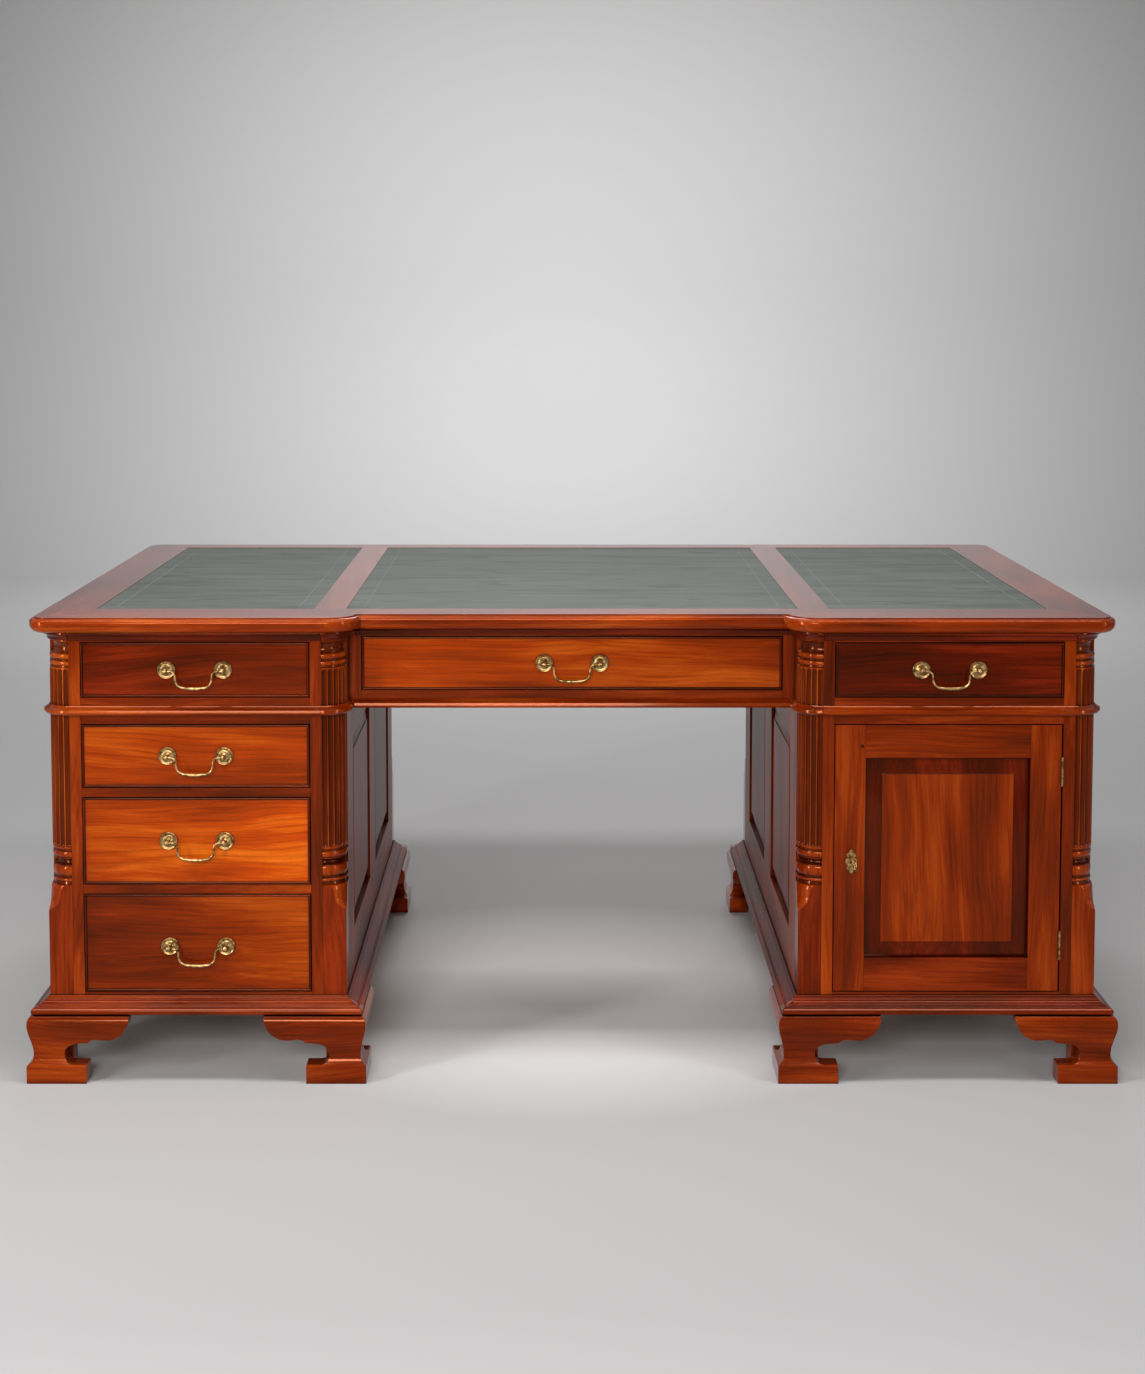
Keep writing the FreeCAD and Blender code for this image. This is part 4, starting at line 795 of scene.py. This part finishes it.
class DESK_OT_feet(DeskStep):
    """Ogee bracket feet"""

    bl_idname = "desk.feet"
    bl_label = "Feet"

    def make(self, sizes):
        bracket = self.bracket(sizes)
        mirror = Matrix(((0, -1, 0, 0), (-1, 0, 0, 0), (0, 0, 1, 0), (0, 0, 0, 1)))
        partner = moved_copy(bracket, mirror)
        partner.data.flip_normals()
        smooth(partner, 34)
        pieces = []
        for low, high in solid_boxes("bracket_feet"):
            # the bracket that is long in X stands for both, and the one that is long in Y is left
            if high.x - low.x > 100 * MM:
                turn = corner_turn(low, high)
                outward = turn.to_3x3() @ Vector((1, -1, 0))
                turn.translation = (high.x if outward.x > 0 else low.x,
                                    high.y if outward.y > 0 else low.y, 0)
                pieces += [moved_copy(bracket, turn), moved_copy(partner, turn)]
            elif high.y - low.y < 100 * MM:
                glue = block("glue_block", low, high)
                apply_modifier(glue, "BEVEL", width=sizes.edge_ease, segments=2)
                pieces.append(glue)
        bpy.data.objects.remove(bracket)
        bpy.data.objects.remove(partner)
        piece = joined("bracket_feet_finished", pieces)
        lay_grain(piece, 0.16, stain=0.0)
        stand_for(piece, "bracket_feet", "mahogany", "polish")

    def bracket(self, sizes):
        """The bracket along the front face, its outer corner at the origin, running to -X."""
        face = [
            (0, 0, 1), (0, 29.6, 1), (2.4, 32, 1), (7.6, 36.5, 1), (9.6, 42, 0), (10, 54, 0),
            (6.4, 72, 0), (1.9, 90, 0), (0.9, 101, 0), (2.4, 110, 0), (6.2, 115, 1),
            (38, 115, 1), (38, 0, 1),
        ]
        scroll = [
            (0, 0, 1), (102, 0, 1), (102, 32, 1), (78, 32, 1), (69, 35, 0), (63.5, 45, 0),
            (65.5, 57, 0), (76, 64.5, 0), (91, 67.2, 0), (104, 68.6, 1), (108.5, 72.6, 0),
            (118, 74.4, 0), (129, 73.2, 0), (141, 73.2, 0), (153, 77.5, 0), (163.5, 86.5, 0),
            (170.5, 98.5, 0), (174, 108, 0), (175, 115, 1), (0, 115, 1),
        ]
        board = sawn("bracket", face, 176)
        # its outline stands in the YZ plane, its length along X
        board.data.transform(Matrix(((0, 0, 1, -88 * MM), (1, 0, 0, 0), (0, 1, 0, 0),
                                     (0, 0, 0, 1))))
        edge = sawn("scroll", [(-x, z, sharp) for x, z, sharp in scroll], 90)
        edge.data.transform(Matrix.Rotation(math.pi / 2, 4, "X"))
        combine(board, edge, "INTERSECT")
        select_only(board)
        bpy.ops.object.mode_set(mode="EDIT")
        bpy.ops.mesh.select_all(action="SELECT")
        bpy.ops.mesh.bisect(plane_co=(0, 0, 0), plane_no=(1, 1, 0), use_fill=True,
                            clear_outer=True, threshold=1e-6)
        leave_edit()
        apply_modifier(board, "BEVEL", width=sizes.edge_ease, segments=2, limit_method="ANGLE",
                       angle_limit=math.radians(50), use_clamp_overlap=False)
        smooth(board, 34)
        return board


class DESK_OT_carcass(DeskStep):
    """Frames, panels and boards of the pedestals and the table section"""

    bl_idname = "desk.carcass"
    bl_label = "Carcass"

    def make(self, sizes):
        wooden("frieze_frame", sizes.joint_ease, 0.15)
        for node, tone in (("pedestal_frames", 0.14), ("side_panels", 0.05)):
            wooden(node, sizes.joint_ease, tone, finishes=("polish", "dull"),
                   finish_of=in_kneehole)
        wooden("carcass_boards", sizes.joint_ease, 0.4, slot="secondary_wood",
               finishes=("bare",))


# each front's tone, and how much it rises from its left end to its right
DRAWER_TONES = {
    "left_frieze": (0.06, 0.1), "centre_frieze": (0.42, -0.3), "right_frieze": (-0.12, 0.0),
    "upper": (0.45, 0.1), "middle": (0.6, 0.4), "lower": (0.2, 0.25),
}


class DESK_OT_drawers(DeskStep):
    """Twelve drawers with figured fronts, cock beads and bare linings"""

    bl_idname = "desk.drawers"
    bl_label = "Drawers"

    def make(self, sizes):
        for side in ("front", "back"):
            for name, (tone, lean) in DRAWER_TONES.items():
                node = f"{side}_{name}_drawer"
                lean = lean if side == "front" else -lean
                low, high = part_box(node)
                outer = low.y if side == "front" else high.y

                def lining(start, stop):
                    return int(min(abs(start.y - outer), abs(stop.y - outer)) > DRAWER_FRONT)

                def ease(start, stop):
                    return sizes.edge_ease * (1.4 if min(stop - start) < COCK_BEAD else 0.5)

                def shade(start, stop):
                    return -0.45 if min(stop - start) < COCK_BEAD else tone

                wooden(node, ease, shade, spread=0.0, segments=3, finishes=("polish", "bare"),
                       finish_of=lining, lean=lean)


class DESK_OT_doors(DeskStep):
    """Two framed doors with raised and fielded panels"""

    bl_idname = "desk.doors"
    bl_label = "Doors"

    def make(self, sizes):
        def shade(start, stop):
            """Only the plug is small, and it is dark."""
            return -0.8 if max(stop - start) < 10 * MM else 0.12

        for side, turn in (("front", 0), ("back", math.pi)):
            node = f"{side}_door_frame"
            piece = softened(node, sizes.joint_ease)
            # a plug in the lock stile, hardly proud of it
            plug = turned("plug", [(3.1, 0), (3.1, 0.2), (2.7, 0.35), (0.4, 0.4)], 20)
            plug.data.transform(Matrix.Rotation(turn, 4, "Z")
                                @ Matrix.Translation((492 * MM, FACE_Y, 574 * MM))
                                @ Matrix.Rotation(math.pi / 2, 4, "X"))
            smooth(plug, 40)
            piece = joined(piece.name, [piece, plug])
            lay_grain(piece, shade)
            stand_for(piece, node, "mahogany", "polish")
            wooden(f"{side}_door_panel", sizes.joint_ease * 2, 0.2, stain=0.42)


class DESK_OT_handles(DeskStep):
    """Bail handles on turned roses"""

    bl_idname = "desk.handles"
    bl_label = "Handles"

    def make(self, sizes):
        post, bail = self.post(), self.bail(sizes)
        half = sizes.handle_centres / 2
        for side in ("front", "back"):
            for name in DRAWER_TONES:
                node = f"{side}_{name}_drawer_"
                low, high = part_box(node + "posts")
                back = side == "back"
                place = Matrix.Translation(((low.x + high.x) / 2, low.y if back else high.y,
                                            (low.z + high.z) / 2))
                if back:
                    place = place @ Matrix.Rotation(math.pi, 4, "Z")
                flipped = Matrix.Rotation(math.pi, 4, "Y")
                pair = [moved_copy(post, place @ Matrix.Translation((-half, 0, 0))),
                        moved_copy(post, place @ Matrix.Translation((half, 0, 0)) @ flipped)]
                piece = joined(node + "posts_finished", pair)
                stand_for(piece, node + "posts", "brass", "brass")
                piece = moved_copy(bail, place)
                piece.name = node + "bail_finished"
                stand_for(piece, node + "bail", "brass", "brass")
        bpy.data.objects.remove(post)
        bpy.data.objects.remove(bail)

    def post(self):
        """A dished and rimmed rose, a stem and a ball with the bail's socket on its right."""
        outline = [
            (15.3, 0.0), (15.3, 1.2), (14.9, 2.1), (14.2, 2.6), (13.4, 2.5), (12.8, 1.9),
            (11.6, 1.5), (10.0, 1.4), (8.9, 1.6), (8.3, 2.3), (7.7, 2.6), (7.0, 2.4), (6.4, 2.7),
            (5.6, 3.6), (4.4, 4.4), (3.5, 5.6), (3.1, 7.4), (3.0, 9.4), (3.4, 11.2), (4.2, 12.8),
            (4.8, 14.4), (5.0, 16.0), (4.8, 17.6), (4.2, 19.0), (3.2, 20.0), (1.8, 20.6),
            (0.5, 20.8),
        ]
        post = turned("handle_post", outline, 36)
        post.data.transform(Matrix.Rotation(math.pi / 2, 4, "X"))
        socket = turned("socket", [(2.3, -0.8), (2.3, 8)], 20)
        socket.data.transform(Matrix.Translation((0, -16 * MM, 0))
                              @ Matrix.Rotation(math.pi / 2, 4, "Y"))
        combine(post, socket, "DIFFERENCE")
        smooth(post, 40)
        return post

    def bail(self, sizes):
        """A swan-neck bail whose pins lie on the X axis; the grip swells towards its middle."""
        half = sizes.handle_centres / 2 / MM
        # from the post's middle inwards, down, and radius
        line = ((0.6, 0, 1.9), (5.6, 0, 1.9), (9.8, 0.4, 1.9), (13.8, 2.4, 1.8), (16.4, 6.8, 1.8),
                (17.0, 13.6, 1.9), (18.8, 20.8, 2.0), (24.6, 26.4, 2.2), (34.8, 28.9, 2.6))
        left = [(inward - half, -down, radius) for inward, down, radius in line]
        right = [(-x, z, radius) for x, z, radius in reversed(left)]
        points = left + [(0, -29.6, 3.0)] + right
        piece = drawn_curve("bail", [(x, -16, z, 0) for x, z, _ in points], flat=False)
        for knot, (_, _, radius) in zip(piece.data.splines[0].bezier_points, points):
            knot.radius = radius
        piece.data.bevel_depth = MM
        piece.data.bevel_resolution = 3
        piece.data.use_fill_caps = True
        piece = made_mesh(piece)
        smooth(piece, 50)
        return piece


class DESK_OT_locks(DeskStep):
    """Keyhole plates, lock cases, bolts and keys"""

    bl_idname = "desk.locks"
    bl_label = "Locks and keys"

    def make(self, sizes):
        # the back door's lock is the front one's, turned half round the desk's middle
        plate, key = self.plate(), self.key()
        for side, turn in (("front", 0), ("back", math.pi)):
            turn = Matrix.Rotation(turn, 4, "Z")
            node = f"{side}_door_fittings"
            case = softened(node, sizes.joint_ease)
            # only the model's plate stands on the door's face from 350 to 400 mm up
            for vertex in case.data.vertices:
                vertex.select = (abs(vertex.co.y) > abs(FACE_Y) - 0.1 * MM
                                 and 350 * MM < vertex.co.z < 400 * MM)
            select_only(case)
            bpy.ops.object.mode_set(mode="EDIT")
            bpy.ops.mesh.select_mode(type="VERT")
            bpy.ops.mesh.delete(type="VERT")
            bpy.ops.object.mode_set(mode="OBJECT")
            piece = joined(case.name, [case, moved_copy(plate, turn)])
            stand_for(piece, node, "brass", "brass")
            piece = moved_copy(key, turn)
            piece.name = f"{side}_door_key_finished"
            stand_for(piece, f"{side}_door_key", "brass", "brass")
            node = f"{side}_door_bolt"
            stand_for(softened(node, sizes.joint_ease), node, "brass", "brass")
        bpy.data.objects.remove(plate)
        bpy.data.objects.remove(key)

    def plate(self):
        """A cast cartouche with a raised middle and a keyhole that widens at its foot."""
        right = [(3.0, -18.6), (3.5, -15.0), (6.8, -13.4), (7.7, -9.4), (5.9, -6.3), (8.7, -4.1),
                 (10, 0), (8.7, 4.1), (5.9, 6.3), (7.7, 9.4), (6.8, 13.4), (3.5, 15.4),
                 (2.4, 18.4)]
        outline = [(0, -21, 1)] + [(x, z, 0) for x, z in right] + [(0, 21, 1)]
        outline += [(-x, z, 0) for x, z in right[::-1]]
        piece = sawn("plate", outline, 0.9)
        piece.data.transform(Matrix.Translation((0, 0, 0.45 * MM)))
        middle = sawn("middle", [(x * 0.7, z * 0.76, sharp) for x, z, sharp in outline], 1.6)
        middle.data.transform(Matrix.Translation((0, 0, 0.8 * MM)))
        combine(piece, middle, "UNION")
        keyhole = sawn("keyhole", [
            (3.0, 5.0, 0), (2.1, 7.1, 0), (0, 8.0, 0), (-2.1, 7.1, 0), (-3.0, 5.0, 0),
            (-1.5, 2.2, 1), (-2.1, -4.2, 1), (2.1, -4.2, 1), (1.5, 2.2, 1)], 5)
        combine(piece, keyhole, "DIFFERENCE")
        apply_modifier(piece, "BEVEL", width=0.25 * MM, segments=2, limit_method="ANGLE",
                       angle_limit=math.radians(50))
        piece.data.transform(Matrix.Translation((KEY_X, FACE_Y, 375.46 * MM))
                             @ Matrix.Rotation(math.pi / 2, 4, "X"))
        smooth(piece, 40)
        return piece

    def key(self):
        """A turned stem with a collar, a ring bow and the bit that throws the bolt."""
        inner, ring = -515.4 * MM, -581.7 * MM  # the stem's end in the lock, the bow's middle
        stem = turned("key", [
            (0.6, 0), (2.1, 0.1), (2.5, 0.5), (2.5, 42), *swelling(42.2, 44, 2.5, 3.3, 4),
            (2.6, 44.4), *swelling(44.8, 49, 2.6, 3.8), (2.6, 49.4),
            *swelling(49.8, 51.6, 2.5, 3.2, 4), (2.2, 52.4), (1.9, 56), (0.5, 57)], 24)
        stem.data.transform(Matrix.Translation((KEY_X, inner, KEY_Z))
                            @ Matrix.Rotation(math.pi / 2, 4, "X"))
        select_only()
        bpy.ops.mesh.primitive_torus_add(
            major_radius=9.4 * MM, minor_radius=1.5 * MM, major_segments=40, minor_segments=12,
            location=(KEY_X, ring, KEY_Z), rotation=(0, math.pi / 2, 0))
        bow = bpy.context.object
        bpy.ops.object.transform_apply(location=True, rotation=True, scale=True)
        bit = block("bit", (KEY_X - 1.1 * MM, inner - 1.1 * MM, KEY_Z - 8.7 * MM),
                    (KEY_X + 1.1 * MM, inner, KEY_Z - MM))
        apply_modifier(bit, "BEVEL", width=0.2 * MM, segments=2)
        key = joined("key", [stem, bow, bit])
        smooth(key, 40)
        return key


class DESK_OT_hinges(DeskStep):
    """Fixed leaves and pins of the butt hinges"""

    bl_idname = "desk.hinges"
    bl_label = "Hinges"

    def make(self, sizes):
        piece = softened("fixed_hinge_leaves", sizes.joint_ease * 0.5)
        stand_for(piece, "fixed_hinge_leaves", "brass", "brass")


class DESK_OT_stage(DeskStep):
    """Seamless paper, soft lamps and the camera"""

    bl_idname = "desk.stage"
    bl_label = "Stage"

    def make(self, sizes):
        self.paper()
        self.lamps()
        self.camera()

    def paper(self):
        """A floor that curves up into a wall."""
        select_only()
        bpy.ops.mesh.primitive_plane_add(size=1)
        sheet = bpy.context.object
        sheet.name = "seamless_paper"
        select_only(sheet)
        bpy.ops.object.mode_set(mode="EDIT")
        bpy.ops.transform.resize(value=(26, 13.5, 1))
        bpy.ops.transform.translate(value=(0, 0.75, 0))
        bpy.ops.mesh.select_all(action="DESELECT")
        bpy.ops.object.mode_set(mode="OBJECT")
        for edge in sheet.data.edges:
            ends = [sheet.data.vertices[index].co.y for index in edge.vertices]
            edge.select = min(ends) > 3
            if edge.select:
                for index in edge.vertices:
                    sheet.data.vertices[index].select = True
        bpy.ops.object.mode_set(mode="EDIT")
        bpy.ops.mesh.select_mode(type="EDGE")
        bpy.ops.mesh.extrude_edges_move(TRANSFORM_OT_translate={"value": (0, 0, 6)})
        bpy.ops.mesh.select_all(action="DESELECT")
        bpy.ops.object.mode_set(mode="OBJECT")
        apply_modifier(sheet, "BEVEL", width=1.4, segments=24, limit_method="ANGLE")
        select_only(sheet)
        bpy.ops.object.shade_smooth()
        sheet.data.materials.append(finish("paper"))

    def lamps(self):
        """Soft boxes: (name, place, aimed at, size, power)."""
        lamps = (
            ("overhead_box", (0.0, -0.9, 2.8), (0, 0, 0.5), (3.4, 0.45), 54),
            ("camera_box", (-0.7, -5.2, 2.2), (0, 0, 0.4), (2.2, 1.2), 165),
            ("front_box_left", (-2.7, -2.4, 1.1), (0, 0, 0.45), (0.3, 1.7), 44),
            ("front_box_right", (2.8, -2.4, 1.1), (0, 0, 0.45), (0.3, 1.7), 20),
            ("wall_box", (0.0, 4.4, 3.5), (0, 7.0, 0.0), (4.6, 0.6), 135),
            ("back_box", (0.0, 3.2, 3.6), (0, 0, 0.4), (2.6, 0.8), 76),
        )
        for name, place, aim, size, power in lamps:
            bpy.ops.object.light_add(type="AREA", location=place)
            lamp = bpy.context.object
            lamp.name = name
            lamp.visible_camera = False
            lamp.data.shape = "RECTANGLE"
            lamp.data.size, lamp.data.size_y = size
            lamp.data.energy = power
            lamp.rotation_euler = (Vector(aim) - Vector(place)).to_track_quat("-Z", "Y").to_euler()
        # the room gives little light of its own, but shows pale behind the desk and in its gloss
        world = bpy.data.worlds.new("studio_room")
        bpy.context.scene.world = world
        world.use_nodes = True
        tree = world.node_tree
        path = add(tree, "LightPath").node.outputs
        seen = add(tree, "Math", (path["Is Camera Ray"], path["Is Glossy Ray"]), operation="ADD")
        seen = add(tree, "Math", (seen, path["Is Transmission Ray"]), operation="ADD",
                   use_clamp=True)
        strength = add(tree, "Math", (seen, 0.68, 0.12), operation="MULTIPLY_ADD")
        room = tree.nodes["Background"]
        room.inputs["Color"].default_value = linear("#bcbcbc")
        tree.links.new(strength, room.inputs["Strength"])

    def camera(self):
        bpy.ops.object.camera_add(location=(-0.0275, -4.1285, 1.3250))
        camera = bpy.context.object
        camera.name = "desk_camera"
        camera.rotation_euler = (math.radians(90 - 4.3087), 0, 0)
        camera.data.sensor_width = 36
        camera.data.lens = 56.33
        camera.data.shift_x = 0.0120
        camera.data.shift_y = -0.1623
        bpy.context.scene.camera = camera
        bpy.context.scene.view_settings.view_transform = "Standard"


STEPS = (DESK_OT_top, DESK_OT_leather, DESK_OT_mouldings, DESK_OT_columns, DESK_OT_feet,
         DESK_OT_carcass, DESK_OT_drawers, DESK_OT_doors, DESK_OT_handles, DESK_OT_locks,
         DESK_OT_hinges, DESK_OT_stage)


class DESK_PT_sidebar(bpy.types.Panel):
    """Lists the desk's steps"""

    bl_label = "Partners desk"
    bl_idname = "DESK_PT_sidebar"
    bl_space_type = "VIEW_3D"
    bl_region_type = "UI"
    bl_category = "Desk"

    def draw(self, context):
        for step in STEPS:
            self.layout.operator(step.bl_idname)
        for group in (context.scene.desk_sizes, context.scene.desk_colours):
            for name in group.__annotations__:
                self.layout.prop(group, name)


CLASSES = (DeskSizes, DeskColours) + STEPS + (DESK_PT_sidebar,)


def register():
    for kind in CLASSES:
        bpy.utils.register_class(kind)
    bpy.types.Scene.desk_sizes = PointerProperty(type=DeskSizes)
    bpy.types.Scene.desk_colours = PointerProperty(type=DeskColours)


def unregister():
    del bpy.types.Scene.desk_sizes
    del bpy.types.Scene.desk_colours
    for kind in reversed(CLASSES):
        bpy.utils.unregister_class(kind)


def main():
    register()
    for step in STEPS:
        family, name = step.bl_idname.split(".")
        getattr(getattr(bpy.ops, family), name)()


if __name__ == "__main__":
    main()
